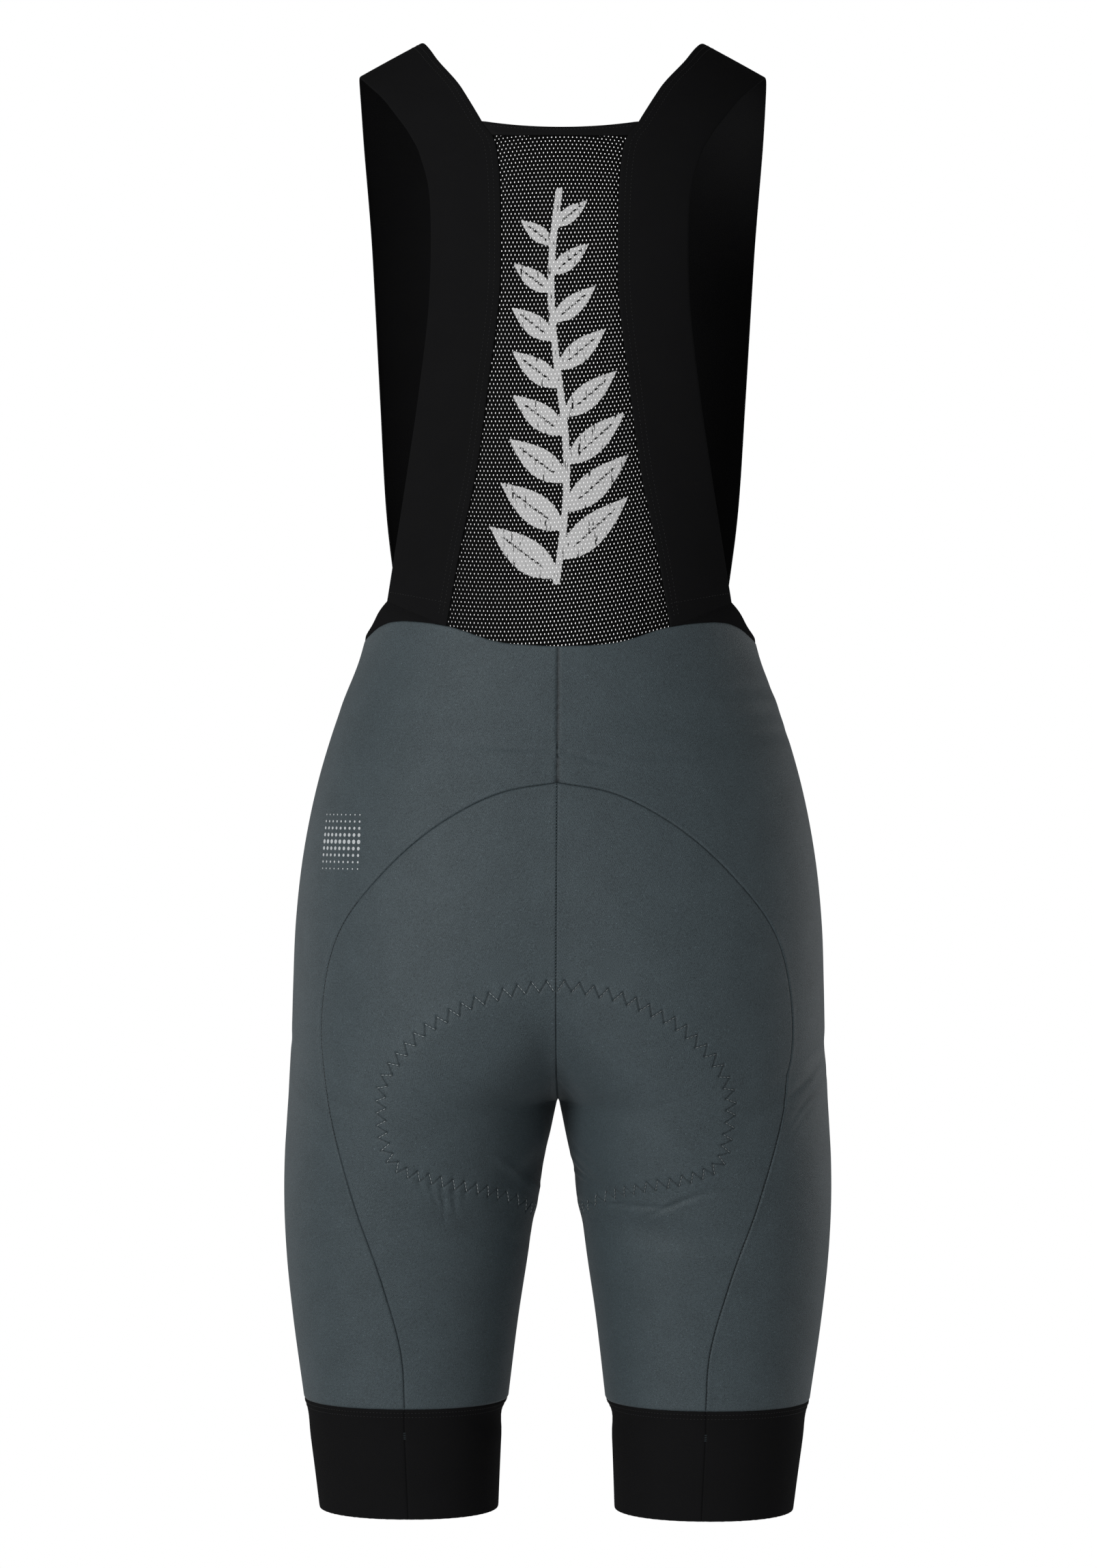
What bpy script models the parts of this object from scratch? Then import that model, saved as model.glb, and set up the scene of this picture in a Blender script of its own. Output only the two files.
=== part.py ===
"""Cycling bib shorts, filled out as when worn, as a hollow garment of separate sewn pieces.

The garment faces -Y, its back is towards +Y and +Z is up. The origin lies midway between the tops of the
two shoulder straps, where the wearer's shoulders carry it. Sizes are in millimetres and become metres when
the meshes are made. The left pieces are modelled, and the right ones mirror them but for the folds.

The cloth follows one body form. Below the chest it is a stack of level sections, each a rounded outline
that is cut at the centre plane while the two legs are joined and closes on itself in each leg. Above the
chest two domes carry the straps over the shoulders. A place on the lower form is (s, z): s runs from 0 at
the centre back (or the inseam) round the outside to 1 at the centre front (or the inseam again). A place
on the straps and the back mesh is (x, reach): reach is the distance down the back from the shoulder line,
and it is negative down the front.
"""

import math
from collections import namedtuple

import bpy
import numpy as np

MM = 0.001

# Cloth thickness and the gap that parts two pieces at a seam.
KNIT_WALL = 1.3
BIB_WALL = 1.2
NET_WALL = 1.0
BINDING_WALL = 1.6
GRIPPER_WALL = 1.5
SEAM_GAP = 0.3
MITRE_LEAST = 0.2
SHARP_ANGLE = 50.0

# The body form: each row is a level section.
#   centre: where the section is deepest, from the centre plane
#   outer:  half-width of the garment
#   inner:  inner end of the section, joined to its mirror image while it is under CENTRE_ROUND
#   back, front: depth of the section behind and before the shoulder line
#   spread: angle that spaces the section's points, away from where it is cut
Section = namedtuple("Section", "z centre outer inner back front spread")
BODY = (
    Section(-130.0, 0.0, 150.0, -150.0, 108.0, -112.0, 92.0),
    Section(-190.0, 0.0, 147.0, -147.0, 106.0, -113.0, 92.0),
    Section(-260.0, 0.0, 139.0, -139.0, 98.0, -111.0, 92.0),
    Section(-330.0, 0.0, 127.0, -127.0, 91.0, -106.0, 92.0),
    Section(-380.0, 0.0, 125.0, -126.0, 90.5, -102.0, 92.0),
    Section(-424.0, 2.0, 140.5, -142.0, 94.0, -104.0, 92.0),
    Section(-470.0, 6.0, 154.2, -160.0, 103.5, -108.5, 92.0),
    Section(-516.0, 14.0, 163.2, -176.0, 112.5, -111.5, 92.0),
    Section(-560.0, 28.0, 167.7, -174.0, 118.0, -111.5, 95.0),
    Section(-600.0, 45.0, 169.1, -110.0, 118.0, -109.0, 102.0),
    Section(-634.0, 63.0, 170.0, -42.0, 112.5, -105.0, 117.0),
    Section(-656.0, 77.0, 171.2, -8.0, 107.5, -102.5, 133.0),
    Section(-673.0, 86.0, 172.1, 10.0, 103.5, -101.0, 147.0),
    Section(-676.0, 87.1, 172.3, 10.08, 102.9, -100.7, 149.2),
    Section(-690.0, 90.0, 173.2, 11.14, 100.3, -99.4, 158.2),
    Section(-703.0, 91.5, 174.0, 12.8, 98.0, -98.0, 165.0),
    Section(-738.0, 94.0, 174.5, 17.4, 91.5, -93.0, 177.0),
    Section(-773.0, 95.5, 172.7, 21.6, 85.0, -87.0, 180.0),
    Section(-808.0, 96.5, 169.0, 26.4, 78.5, -80.5, 180.0),
    Section(-862.0, 97.0, 161.4, 32.6, 70.0, -70.5, 180.0),
)
SECTION_POWER = 2.2
CENTRE_ROUND = 10.0
EDGE_HOLD = 4
NEWTON_STEPS = 12
SLOPE_STEP = 0.05
CROTCH_Z = -673.0
HEM_Z = -862.0

# The shoulder domes over the topmost section.
CHEST_Z = BODY[0].z
QUARTER_REACH = 180.0
SHOULDER_X = 90.0
SHOULDER_FALL = 0.571
NECK_FLAT = 40.0

# Height of the waist seam and of the band's top edge under the arm, round the body by s.
Level = namedtuple("Level", "s z")
WAIST_SEAM = (
    Level(0.00, -386.2),
    Level(0.08, -383.8),
    Level(0.18, -373.8),
    Level(0.25, -370.6),
    Level(0.32, -370.2),
    Level(0.37, -373.0),
    Level(0.42, -378.0),
    Level(0.50, -381.5),
    Level(0.60, -383.5),
    Level(0.75, -388.5),
    Level(1.00, -396.0),
)
UNDERARM_EDGE = (
    Level(0.338, -357.0),
    Level(0.37, -362.5),
    Level(0.41, -371.0),
    Level(0.45, -375.5),
    Level(0.50, -377.5),
    Level(0.56, -375.5),
    Level(0.62, -368.0),
    Level(0.67, -357.0),
)
BACK_STRAP_S = 0.185
FRONT_STRAP_S = 0.797
ARMHOLE_EASE_S = 0.02

# The strap between its two waist ends: its neck edge and its arm edge, over the shoulder from back to front.
StrapRow = namedtuple("StrapRow", "neck_reach neck_x arm_reach arm_x")
STRAP = (
    StrapRow(375.0, 61.2, 374.0, 103.0),
    StrapRow(327.0, 50.9, 327.0, 95.0),
    StrapRow(274.0, 43.5, 277.0, 87.2),
    StrapRow(220.0, 36.8, 222.0, 80.9),
    StrapRow(171.0, 36.3, 166.0, 80.5),
    StrapRow(140.0, 39.6, 138.0, 87.0),
    StrapRow(126.0, 48.5, 122.0, 94.0),
    StrapRow(102.0, 61.5, 94.0, 107.8),
    StrapRow(62.0, 80.0, 50.0, 124.0),
    StrapRow(0.0, 90.0, 0.0, 130.0),
    StrapRow(-90.0, 86.0, -90.0, 130.0),
    StrapRow(-180.0, 78.0, -180.0, 124.8),
    StrapRow(-270.0, 74.0, -270.0, 119.8),
    StrapRow(-350.0, 74.5, -345.0, 115.0),
)
STEPS_PER_STRAP_ROW = 3
NECK_CORNER_ROW = 7
BINDING_STEPS = 2
NECK_DIP = 8.0
NET_TOP_DIP = 3.5

# The arched seam from the centre back, over the seat and down the back of the leg to the hem.
SeamPoint = namedtuple("SeamPoint", "x z")
ARCH_SEAM = (
    SeamPoint(0.0, -470.5),
    SeamPoint(34.0, -476.8),
    SeamPoint(68.0, -493.5),
    SeamPoint(108.0, -527.0),
    SeamPoint(135.0, -563.0),
    SeamPoint(146.3, -615.0),
    SeamPoint(142.2, -666.6),
    SeamPoint(126.2, -729.7),
    SeamPoint(107.4, -783.6),
    SeamPoint(95.5, -830.0),
    SeamPoint(93.8, -862.0),
)

# How many steps each seam is divided into. Pieces on both sides of a seam share its points. A patch's
# columns follow its top edge, measured with the two weights on its plane coordinates.
NET_COLUMNS = 5
BIB_WAIST_COLUMNS = 12
FRONT_EDGE_COLUMNS = 5
CENTRE_BACK_ROWS = 5
ARCH_STEPS = 28
SEAT_COLUMNS = 9
INSEAM_ROWS = 10
STRAP_COLUMNS = 4
CENTRE_CROWDING = 1.5
ARCH_CROWDING = 1.2
DENSE_STEPS = 400
TOP_EDGE_WEIGHTS = (1.0, 0.001)

# The gripper band below its join to the leg: how far it falls, and its half-widths and depths there.
BandRow = namedtuple("BandRow", "drop outer inner back front")
GRIPPER = (
    BandRow(6.0, 159.2, 34.2, 68.0, -68.5),
    BandRow(24.0, 157.0, 35.2, 66.2, -66.6),
    BandRow(48.0, 153.8, 36.2, 63.6, -64.0),
    BandRow(70.0, 151.0, 37.0, 61.4, -61.8),
)

# The pad inside the seat: its outline on the left half, from the centre back down round the inner thigh
# and up to the centre front, and how far along its middle line the rib to that point starts.
PadRow = namedtuple("PadRow", "start_z start_front end_s end_z")
PAD_OUTLINE = (
    PadRow(-597.0, 0, 0.050, -596.5),
    PadRow(-607.0, 0, 0.115, -603.0),
    PadRow(-620.0, 0, 0.185, -620.0),
    PadRow(-634.0, 0, 0.232, -643.0),
    PadRow(-648.0, 0, 0.252, -668.0),
    PadRow(-659.0, 0, 0.253, -693.0),
    PadRow(-667.0, 0, 0.222, -717.0),
    PadRow(-671.5, 0, 0.128, -730.0),
    PadRow(-673.0, 0, 0.000, -741.0),
    PadRow(-671.5, 1, 0.930, -724.0),
    PadRow(-666.0, 1, 0.900, -700.0),
    PadRow(-655.0, 1, 0.885, -676.0),
    PadRow(-638.0, 1, 0.895, -650.0),
    PadRow(-618.0, 1, 0.918, -624.0),
    PadRow(-600.0, 1, 0.950, -603.0),
)
PAD_COLUMNS = 7
PAD_GAP = 0.95
PAD_CREASE_GAP = 3.4
PAD_CREASE_WIDTH = 60.0
PAD_RIM = 2.0
PAD_MIDDLE = 7.0
PAD_FULLNESS = 4

# The swelling that the pad gives the seat, one lobe behind each thigh. It and the folds below fade out
# over the depth of the side.
LOBE_X = 56.0
LOBE_Z = -664.0
LOBE_HALF_WIDTH = 66.0
LOBE_HALF_HEIGHT = 80.0
LOBE_RISE = 3.6
LOBE_FALL = 1.5
SIDE_FADE = 40.0

# The largest folds, as soft troughs: middle, length, slope of the fold in degrees, width and depth.
Fold = namedtuple("Fold", "side x z length slope width depth")
FOLDS = (
    Fold(1, 22.0, -716.0, 46.0, -38.0, 15.0, 2.0),
    Fold(-1, 24.0, -722.0, 50.0, -28.0, 15.0, 2.2),
    Fold(1, 62.0, -748.0, 60.0, 10.0, 18.0, 1.4),
    Fold(-1, 66.0, -752.0, 84.0, -6.0, 18.0, 1.6),
    Fold(-1, 148.0, -652.0, 54.0, 34.0, 16.0, 1.6),
    Fold(-1, 92.0, -436.0, 90.0, 6.0, 20.0, 1.2),
)
FOLD_END = 4

COLOURS = {
    "slate_knit": ((0.052, 0.075, 0.082), 0.62),
    "black_knit": ((0.006, 0.006, 0.007), 0.72),
    "black_net": ((0.006, 0.006, 0.007), 0.8),
    "black_binding": ((0.007, 0.007, 0.008), 0.6),
    "black_gripper": ((0.006, 0.006, 0.007), 0.66),
    "pad_knit": ((0.030, 0.032, 0.035), 0.85),
}


# ---------------------------------------------------------------- curves

def through(knots, values, at):
    """A smooth curve through the values at rising knots, read at the places given."""
    knots = np.asarray(knots, float)
    values = np.asarray(values, float)
    at = np.clip(np.asarray(at, float), knots[0], knots[-1])
    steps = np.diff(knots)
    slopes = np.diff(values) / steps
    middle = (steps[1:] * slopes[:-1] + steps[:-1] * slopes[1:]) / (steps[1:] + steps[:-1])
    tangents = np.concatenate([slopes[:1], middle, slopes[-1:]])
    i = np.clip(np.searchsorted(knots, at, side="right") - 1, 0, len(steps) - 1)
    t = (at - knots[i]) / steps[i]
    start = values[i] * (1 + 2 * t) * (1 - t) ** 2 + tangents[i] * steps[i] * t * (1 - t) ** 2
    end = values[i + 1] * t * t * (3 - 2 * t) + tangents[i + 1] * steps[i] * t * t * (t - 1)
    return start + end


def even_steps(points, count):
    """count + 1 indices-as-fractions that divide a dense run of points evenly by length."""
    lengths = np.linalg.norm(np.diff(points, axis=0), axis=1)
    travelled = np.concatenate([[0.0], np.cumsum(lengths)])
    return np.interp(np.linspace(0.0, travelled[-1], count + 1), travelled, np.arange(len(points)))


def signed_power(value, power):
    return np.sign(value) * np.abs(value) ** power


def level(rows, s):
    return through([row.s for row in rows], [row.z for row in rows], s)


# ---------------------------------------------------------------- the body form

def section(z):
    """Centre, outer and inner half-widths, middle depth and half-depth of the level section at z."""
    rising = BODY[::-1]
    heights = [row.z for row in rising]
    centre, outer, inner, back, front = (
        through(heights, [getattr(row, name) for row in rising], z)
        for name in ("centre", "outer", "inner", "back", "front")
    )
    return centre, outer - centre, centre - inner, (back + front) / 2, (back - front) / 2


def cut_angle(centre, half_out, half_in):
    """Angle from the outermost point at which a section is cut by the centre plane, pi in a leg."""
    half = np.where(centre > CENTRE_ROUND, half_in, half_out)
    cut = np.clip((CENTRE_ROUND - centre) / half, -1.0, 1.0)
    return np.arccos(signed_power(cut, SECTION_POWER / 2))


def angle_terms(z, cut):
    """The two parts of a section's angle: turn * spread, and turn to a high power for the rest at its ends."""
    rising = BODY[::-1]
    spread = np.radians(through([row.z for row in rising], [row.spread for row in rising], z))
    return spread, cut - spread


def body_point(s, z):
    """Point on the left half of the lower form at (s, z)."""
    s, z = np.broadcast_arrays(np.asarray(s, float), np.asarray(z, float))
    centre, half_out, half_in, middle, half_depth = section(z)
    spread, rest = angle_terms(z, cut_angle(centre, half_out, half_in))
    turn = 1 - 2 * s
    angle = spread * turn + rest * turn * np.abs(turn) ** EDGE_HOLD
    across = signed_power(np.cos(angle), 2 / SECTION_POWER)
    reached = centre + np.where(across > 0, half_out, half_in) * across
    x = np.sqrt(np.maximum(reached**2 - CENTRE_ROUND**2, 0.0))
    y = middle + half_depth * signed_power(np.sin(angle), 2 / SECTION_POWER)
    return np.stack([x, y, z], axis=-1)


def s_of_x(x, z):
    """The place s on the back of the section at z whose distance from the centre plane is x."""
    centre, half_out, half_in, _, _ = section(np.asarray(z, float))
    reached = np.hypot(x, CENTRE_ROUND)
    across = np.where(reached > centre, (reached - centre) / half_out, (reached - centre) / half_in)
    angle = np.arccos(np.clip(signed_power(across, SECTION_POWER / 2), -1.0, 1.0))
    cut = cut_angle(centre, half_out, half_in)
    spread, rest = angle_terms(z, cut)
    turn = angle / cut
    for _ in range(NEWTON_STEPS):
        error = spread * turn + rest * turn * np.abs(turn) ** EDGE_HOLD - angle
        turn = turn - error / (spread + (EDGE_HOLD + 1) * rest * np.abs(turn) ** EDGE_HOLD)
    return (1 - turn) / 2


def section_depth(x, z):
    """How deep the section at z is at x: its middle, and the distance from it to the back or front."""
    centre, half_out, half_in, middle, half_depth = section(z)
    reached = np.hypot(x, CENTRE_ROUND)
    across = np.abs((reached - centre) / np.where(reached > centre, half_out, half_in))
    rest = np.clip(1 - across**SECTION_POWER, 0.0, None)
    return middle, half_depth * rest ** (1 / SECTION_POWER)


def shoulder_height(x):
    """Top of the dome at x, level near the neck and falling towards the arm."""
    return -SHOULDER_FALL * (np.hypot(x, NECK_FLAT) - math.hypot(SHOULDER_X, NECK_FLAT))


def strap_point(x, reach):
    """Point of the upper form at (x, reach)."""
    x, reach = np.broadcast_arrays(np.asarray(x, float), np.asarray(reach, float))
    facing = np.where(reach < 0, -1.0, 1.0)
    below = np.maximum(np.abs(reach) - QUARTER_REACH, 0.0)
    z_low = CHEST_Z - below
    middle, depth = section_depth(np.abs(x), z_low)
    turn = np.clip(1 - np.abs(reach) / QUARTER_REACH, 0.0, 1.0) * math.pi / 2
    y = (middle + facing * depth) * np.cos(turn)
    z = z_low + (shoulder_height(x) - CHEST_Z) * np.sin(turn)
    return np.stack([x, y, z], axis=-1)


def inside_measure(points):
    """A value that is 1 on the body form, less inside it and more outside it."""
    x, y, z = np.abs(points[..., 0]), points[..., 1], points[..., 2]
    centre, half_out, half_in, middle, half_depth = section(np.minimum(z, CHEST_Z))
    reached = np.hypot(x, CENTRE_ROUND)
    across = np.abs((reached - centre) / np.where(reached > centre, half_out, half_in))
    low = across**SECTION_POWER + np.abs((y - middle) / half_depth) ** SECTION_POWER
    chest_middle, chest_depth = section_depth(x, np.full_like(x, CHEST_Z))
    chest_depth = np.maximum(np.abs(chest_middle + np.sign(y) * chest_depth), 1.0)
    rise = np.maximum(z - CHEST_Z, 0.0) / (shoulder_height(x) - CHEST_Z)
    high = rise**2 + (y / chest_depth) ** 2
    return np.where(z > CHEST_Z, high, low)


def outward(points):
    """Unit normals of the body form."""
    slopes = []
    for axis in range(3):
        shift = np.zeros(3)
        shift[axis] = SLOPE_STEP
        slopes.append(inside_measure(points + shift) - inside_measure(points - shift))
    normals = np.stack(slopes, axis=-1)
    return normals / np.linalg.norm(normals, axis=-1, keepdims=True)


def relief(points, side):
    """How far the cloth of the left (1) or right (-1) half stands out from the body form."""
    x, y, z = points[..., 0], points[..., 1], points[..., 2]
    behind = np.clip(0.5 + y / SIDE_FADE, 0.0, 1.0)
    away = ((x - LOBE_X) / LOBE_HALF_WIDTH) ** 2 + ((z - LOBE_Z) / LOBE_HALF_HEIGHT) ** 2
    rise = LOBE_RISE * behind * np.clip(1 - away, 0.0, 1.0) ** LOBE_FALL
    for fold in FOLDS:
        if fold.side != side:
            continue
        slope = math.radians(fold.slope)
        along = (x - fold.x) * math.cos(slope) + (z - fold.z) * math.sin(slope)
        across = (z - fold.z) * math.cos(slope) - (x - fold.x) * math.sin(slope)
        trough = np.exp(-((across / (fold.width / 2)) ** 2))
        ends = np.exp(-((along / (fold.length / 2)) ** FOLD_END))
        rise = rise - fold.depth * behind * trough * ends
    return rise


# ---------------------------------------------------------------- seams

def arch_points():
    """The arched seam as (s, z) at each of its steps."""
    xz = np.array(ARCH_SEAM, float)
    travelled = np.concatenate([[0.0], np.cumsum(np.linalg.norm(np.diff(xz, axis=0), axis=1))])
    at = travelled[-1] * np.linspace(0.0, 1.0, ARCH_STEPS + 1) ** ARCH_CROWDING
    x = through(travelled, xz[:, 0], at)
    z = through(travelled, xz[:, 1], at)
    return np.stack([s_of_x(x, z), z], axis=-1)


def centre_seam(s, z_from, z_to, count):
    """(s, z) along the centre plane or the inseam, divided evenly by length."""
    eased = 1 - (1 - np.linspace(0.0, 1.0, DENSE_STEPS)) ** 2
    z = z_from + (z_to - z_from) * eased
    even = even_steps(body_point(np.full_like(z, s), z), count)
    return np.stack([np.full(count + 1, float(s)), np.interp(even, np.arange(len(z)), z)], axis=-1)


def inseam(s):
    """(s, z) down the inside of the leg, where s is 0 on its back half and 1 on its front half."""
    z = np.linspace(CROTCH_Z, HEM_Z, INSEAM_ROWS + 1)
    return np.stack([np.full_like(z, s), z], axis=-1)


def waist_columns():
    """The waist seam's own division by s, shared by the net, the bib sides and the outer panel."""
    net = np.linspace(0.0, BACK_STRAP_S, NET_COLUMNS + 1)
    bib = np.linspace(BACK_STRAP_S, FRONT_STRAP_S, BIB_WAIST_COLUMNS + 1)
    left = np.linspace(1.0, 0.0, FRONT_EDGE_COLUMNS + 1) ** CENTRE_CROWDING
    front = 1.0 - (1.0 - FRONT_STRAP_S) * left
    return net, bib, front


def strap_stations():
    """Neck and arm edges of the strap as (x, reach), from its back waist end to its front one."""
    ends = []
    back_s, front_s = UNDERARM_EDGE[0].s, UNDERARM_EDGE[-1].s
    for waist_s, arm_s, facing in ((BACK_STRAP_S, back_s, 1), (FRONT_STRAP_S, front_s, -1)):
        neck = body_point(waist_s, level(WAIST_SEAM, waist_s))
        arm = body_point(arm_s, level(UNDERARM_EDGE, arm_s))
        neck_reach = facing * (QUARTER_REACH + CHEST_Z - neck[2])
        arm_reach = facing * (QUARTER_REACH + CHEST_Z - arm[2])
        ends.append(StrapRow(neck_reach, neck[0], arm_reach, arm[0]))
    rows = np.array([ends[0], *STRAP, ends[1]], float)
    at = np.linspace(0, len(rows) - 1, (len(rows) - 1) * STEPS_PER_STRAP_ROW + 1)
    columns = [through(np.arange(len(rows)), rows[:, k], at) for k in range(4)]
    neck = np.stack([columns[1], columns[0]], axis=-1)
    arm = np.stack([columns[3], columns[2]], axis=-1)
    return neck, arm


def patch(top, bottom, left, right):
    """Grid of plane coordinates filled in between four edges. Rows run from top to bottom."""
    u = np.zeros(len(top))
    u[1:] = np.cumsum(np.linalg.norm(np.diff(top, axis=0) * TOP_EDGE_WEIGHTS, axis=1))
    u = (u / u[-1])[None, :, None]
    v = np.linspace(0.0, 1.0, len(left))[:, None, None]
    across = (1 - u) * left[:, None, :] + u * right[:, None, :]
    down = (1 - v) * top[None, :, :] + v * bottom[None, :, :]
    corners = (
        (1 - u) * (1 - v) * top[0] + u * (1 - v) * top[-1] + (1 - u) * v * bottom[0] + u * v * bottom[-1]
    )
    return across + down - corners


# ---------------------------------------------------------------- solids

def material(name):
    found = bpy.data.materials.get(name)
    if found:
        return found
    colour, roughness = COLOURS[name]
    made = bpy.data.materials.new(name)
    made.use_nodes = True
    shader = made.node_tree.nodes["Principled BSDF"]
    shader.inputs["Base Color"].default_value = (*colour, 1.0)
    shader.inputs["Roughness"].default_value = roughness
    shader.inputs["Metallic"].default_value = 0.0
    return made


def inset(points, normals, inward, gap):
    """Loop of points moved inward in its own surface by gap, with mitred corners."""
    ahead = np.roll(points, -1, axis=0) - points
    ahead /= np.linalg.norm(ahead, axis=1, keepdims=True)
    behind = np.roll(ahead, 1, axis=0)
    to_ahead = inward * np.cross(normals, ahead)
    to_behind = inward * np.cross(normals, behind)
    shared = 1 + np.sum(to_ahead * to_behind, axis=1, keepdims=True)
    return points + gap * (to_ahead + to_behind) / np.maximum(shared, MITRE_LEAST)


def rim_order(rows, columns):
    """Flat indices of a grid's edge, once round."""
    index = np.arange(rows * columns).reshape(rows, columns)
    return np.concatenate([index[0, :-1], index[:-1, -1], index[-1, :0:-1], index[:0:-1, 0]])


def halved(points, quads):
    """Each quad as two triangles, parted along its shorter diagonal."""
    triangles = []
    for a, b, c, d in quads:
        if np.linalg.norm(points[a] - points[c]) <= np.linalg.norm(points[b] - points[d]):
            triangles += [(a, b, c), (a, c, d)]
        else:
            triangles += [(a, b, d), (b, c, d)]
    return triangles


def mesh_object(name, points, quads, slot, mirrored):
    """Object from points in millimetres, shaded smooth, mirrored to the right side when asked."""
    faces = halved(points, quads)
    if mirrored:
        points = points * (-1.0, 1.0, 1.0)
        faces = [face[::-1] for face in faces]
    mesh = bpy.data.meshes.new(name)
    mesh.from_pydata((points * MM).tolist(), [], faces)
    mesh.materials.append(material(slot))
    mesh.shade_smooth()
    mesh.set_sharp_from_angle(angle=math.radians(SHARP_ANGLE))
    mesh.validate()
    obj = bpy.data.objects.new(name, mesh)
    bpy.context.scene.collection.objects.link(obj)
    return obj


def sheet_faces(rows, columns, wraps_rows, wraps_columns, start, flip):
    """Quads of a grid of points, each turned round when flip is set."""
    faces = []
    for i in range(rows if wraps_rows else rows - 1):
        for j in range(columns if wraps_columns else columns - 1):
            a = i * columns + j
            b = i * columns + (j + 1) % columns
            c = (i + 1) % rows * columns + (j + 1) % columns
            d = (i + 1) % rows * columns + j
            quad = (a + start, b + start, c + start, d + start)
            faces.append(quad[::-1] if flip else quad)
    return faces


def bridge(edge, start, flip):
    """Quads between an edge loop on the outer face and the same loop on the inner face."""
    faces = []
    for here, there in zip(edge, np.roll(edge, -1)):
        quad = (int(here), int(here) + start, int(there) + start, int(there))
        faces.append(quad[::-1] if flip else quad)
    return faces


def sewn_panel(name, points, normals, wall, slot, mirrored=False, gap=SEAM_GAP):
    """Cloth wall from a grid of points. Rows run down and columns to the wearer's left seen from behind."""
    rows, columns = points.shape[:2]
    outer = points.reshape(-1, 3).copy()
    normals = normals.reshape(-1, 3)
    edge = rim_order(rows, columns)
    outer[edge] = inset(outer[edge], normals[edge], 1.0, gap / 2)
    inner = outer - wall * normals
    count = len(outer)
    faces = sheet_faces(rows, columns, False, False, 0, False)
    faces += sheet_faces(rows, columns, False, False, count, True)
    faces += bridge(edge, count, False)
    return mesh_object(name, np.concatenate([outer, inner]), faces, slot, mirrored)


def body_panel(name, grid, wall, slot, side):
    """Panel of the shorts from its (s, z) grid, with the relief of that side."""
    points = body_point(grid[..., 0], grid[..., 1])
    normals = outward(points)
    points = points + normals * relief(points, side)[..., None]
    return sewn_panel(name, points, normals, wall, slot, side < 0)


# ---------------------------------------------------------------- the pieces

def side_name(stem, side):
    return stem + ("_left" if side > 0 else "_right")


def make_outer_panel(side):
    """Upper back, hip, side and front of one half, from the waist seam to the hem."""
    net, bib, front = waist_columns()
    s = np.concatenate([net, bib[1:], front[1:]])
    top = np.stack([s, level(WAIST_SEAM, s)], axis=-1)
    arch = arch_points()
    back = centre_seam(0.0, top[0, 1], ARCH_SEAM[0].z, CENTRE_BACK_ROWS)
    left = np.concatenate([back, arch[1:]])
    front_rows = CENTRE_BACK_ROWS + ARCH_STEPS - INSEAM_ROWS
    centre_front = centre_seam(1.0, top[-1, 1], CROTCH_Z, front_rows)
    right = np.concatenate([centre_front, inseam(1.0)[1:]])
    bottom_s = arch[-1, 0] + (1 - arch[-1, 0]) * s
    bottom = np.stack([bottom_s, np.full_like(s, HEM_Z)], axis=-1)
    grid = patch(top, bottom, left, right)
    return body_panel(side_name("outer_panel", side), grid, KNIT_WALL, "slate_knit", side)


def seat_edges():
    """Top, bottom, inner and outer edges of the seat panel as (s, z)."""
    arch = arch_points()
    top = arch[: SEAT_COLUMNS + 1]
    outer = arch[SEAT_COLUMNS:]
    rows_above = ARCH_STEPS - SEAT_COLUMNS - INSEAM_ROWS
    centre_back = centre_seam(0.0, arch[0, 1], CROTCH_Z, rows_above)
    inner = np.concatenate([centre_back, inseam(0.0)[1:]])
    share = top[:, 0] / top[-1, 0]
    bottom = np.stack([share * arch[-1, 0], np.full(len(top), HEM_Z)], axis=-1)
    return top, bottom, inner, outer


def make_seat_panel(side):
    """Seat, back of the thigh and inner leg of one half, inside the arched seam."""
    grid = patch(*seat_edges())
    return body_panel(side_name("seat_panel", side), grid, KNIT_WALL, "slate_knit", side)


def make_gripper(side):
    """Elastic band round the hem of one leg."""
    net, bib, front = waist_columns()
    arch_s = arch_points()[-1, 0]
    _, seat_bottom, _, _ = seat_edges()
    outer_s = arch_s + (1 - arch_s) * np.concatenate([net, bib[1:], front[1:]])
    s = np.concatenate([seat_bottom[:-1, 0], outer_s[:-1]])
    join = body_point(s, np.full_like(s, HEM_Z))
    angle = math.pi * (1 - 2 * s)
    rings = [join - (0.0, 0.0, SEAM_GAP / 2)]
    for row in GRIPPER:
        half = (row.outer - row.inner) / 2
        x = (row.outer + row.inner) / 2 + half * signed_power(np.cos(angle), 2 / SECTION_POWER)
        depth = (row.back - row.front) / 2
        y = (row.back + row.front) / 2 + depth * signed_power(np.sin(angle), 2 / SECTION_POWER)
        rings.append(np.stack([x, y, np.full_like(x, HEM_Z - row.drop)], axis=-1))
    points = np.stack(rings)
    middle = points.mean(axis=1, keepdims=True)
    normals = (points - middle) * (1.0, 1.0, 0.0)
    normals[0] = outward(join) * (1.0, 1.0, 0.0)
    normals /= np.linalg.norm(normals, axis=-1, keepdims=True)
    return sewn_tube(side_name("hem_band", side), points, normals, GRIPPER_WALL, "black_gripper", side < 0)


def sewn_tube(name, points, normals, wall, slot, mirrored):
    """Cloth wall from rings of points, each ring closed on itself."""
    rows, columns = points.shape[:2]
    outer = points.reshape(-1, 3)
    inner = outer - wall * normals.reshape(-1, 3)
    count = len(outer)
    faces = sheet_faces(rows, columns, False, True, 0, False)
    faces += sheet_faces(rows, columns, False, True, count, True)
    faces += bridge(np.arange(columns), count, False)
    faces += bridge(np.arange(columns) + (rows - 1) * columns, count, True)
    return mesh_object(name, np.concatenate([outer, inner]), faces, slot, mirrored)


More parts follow.
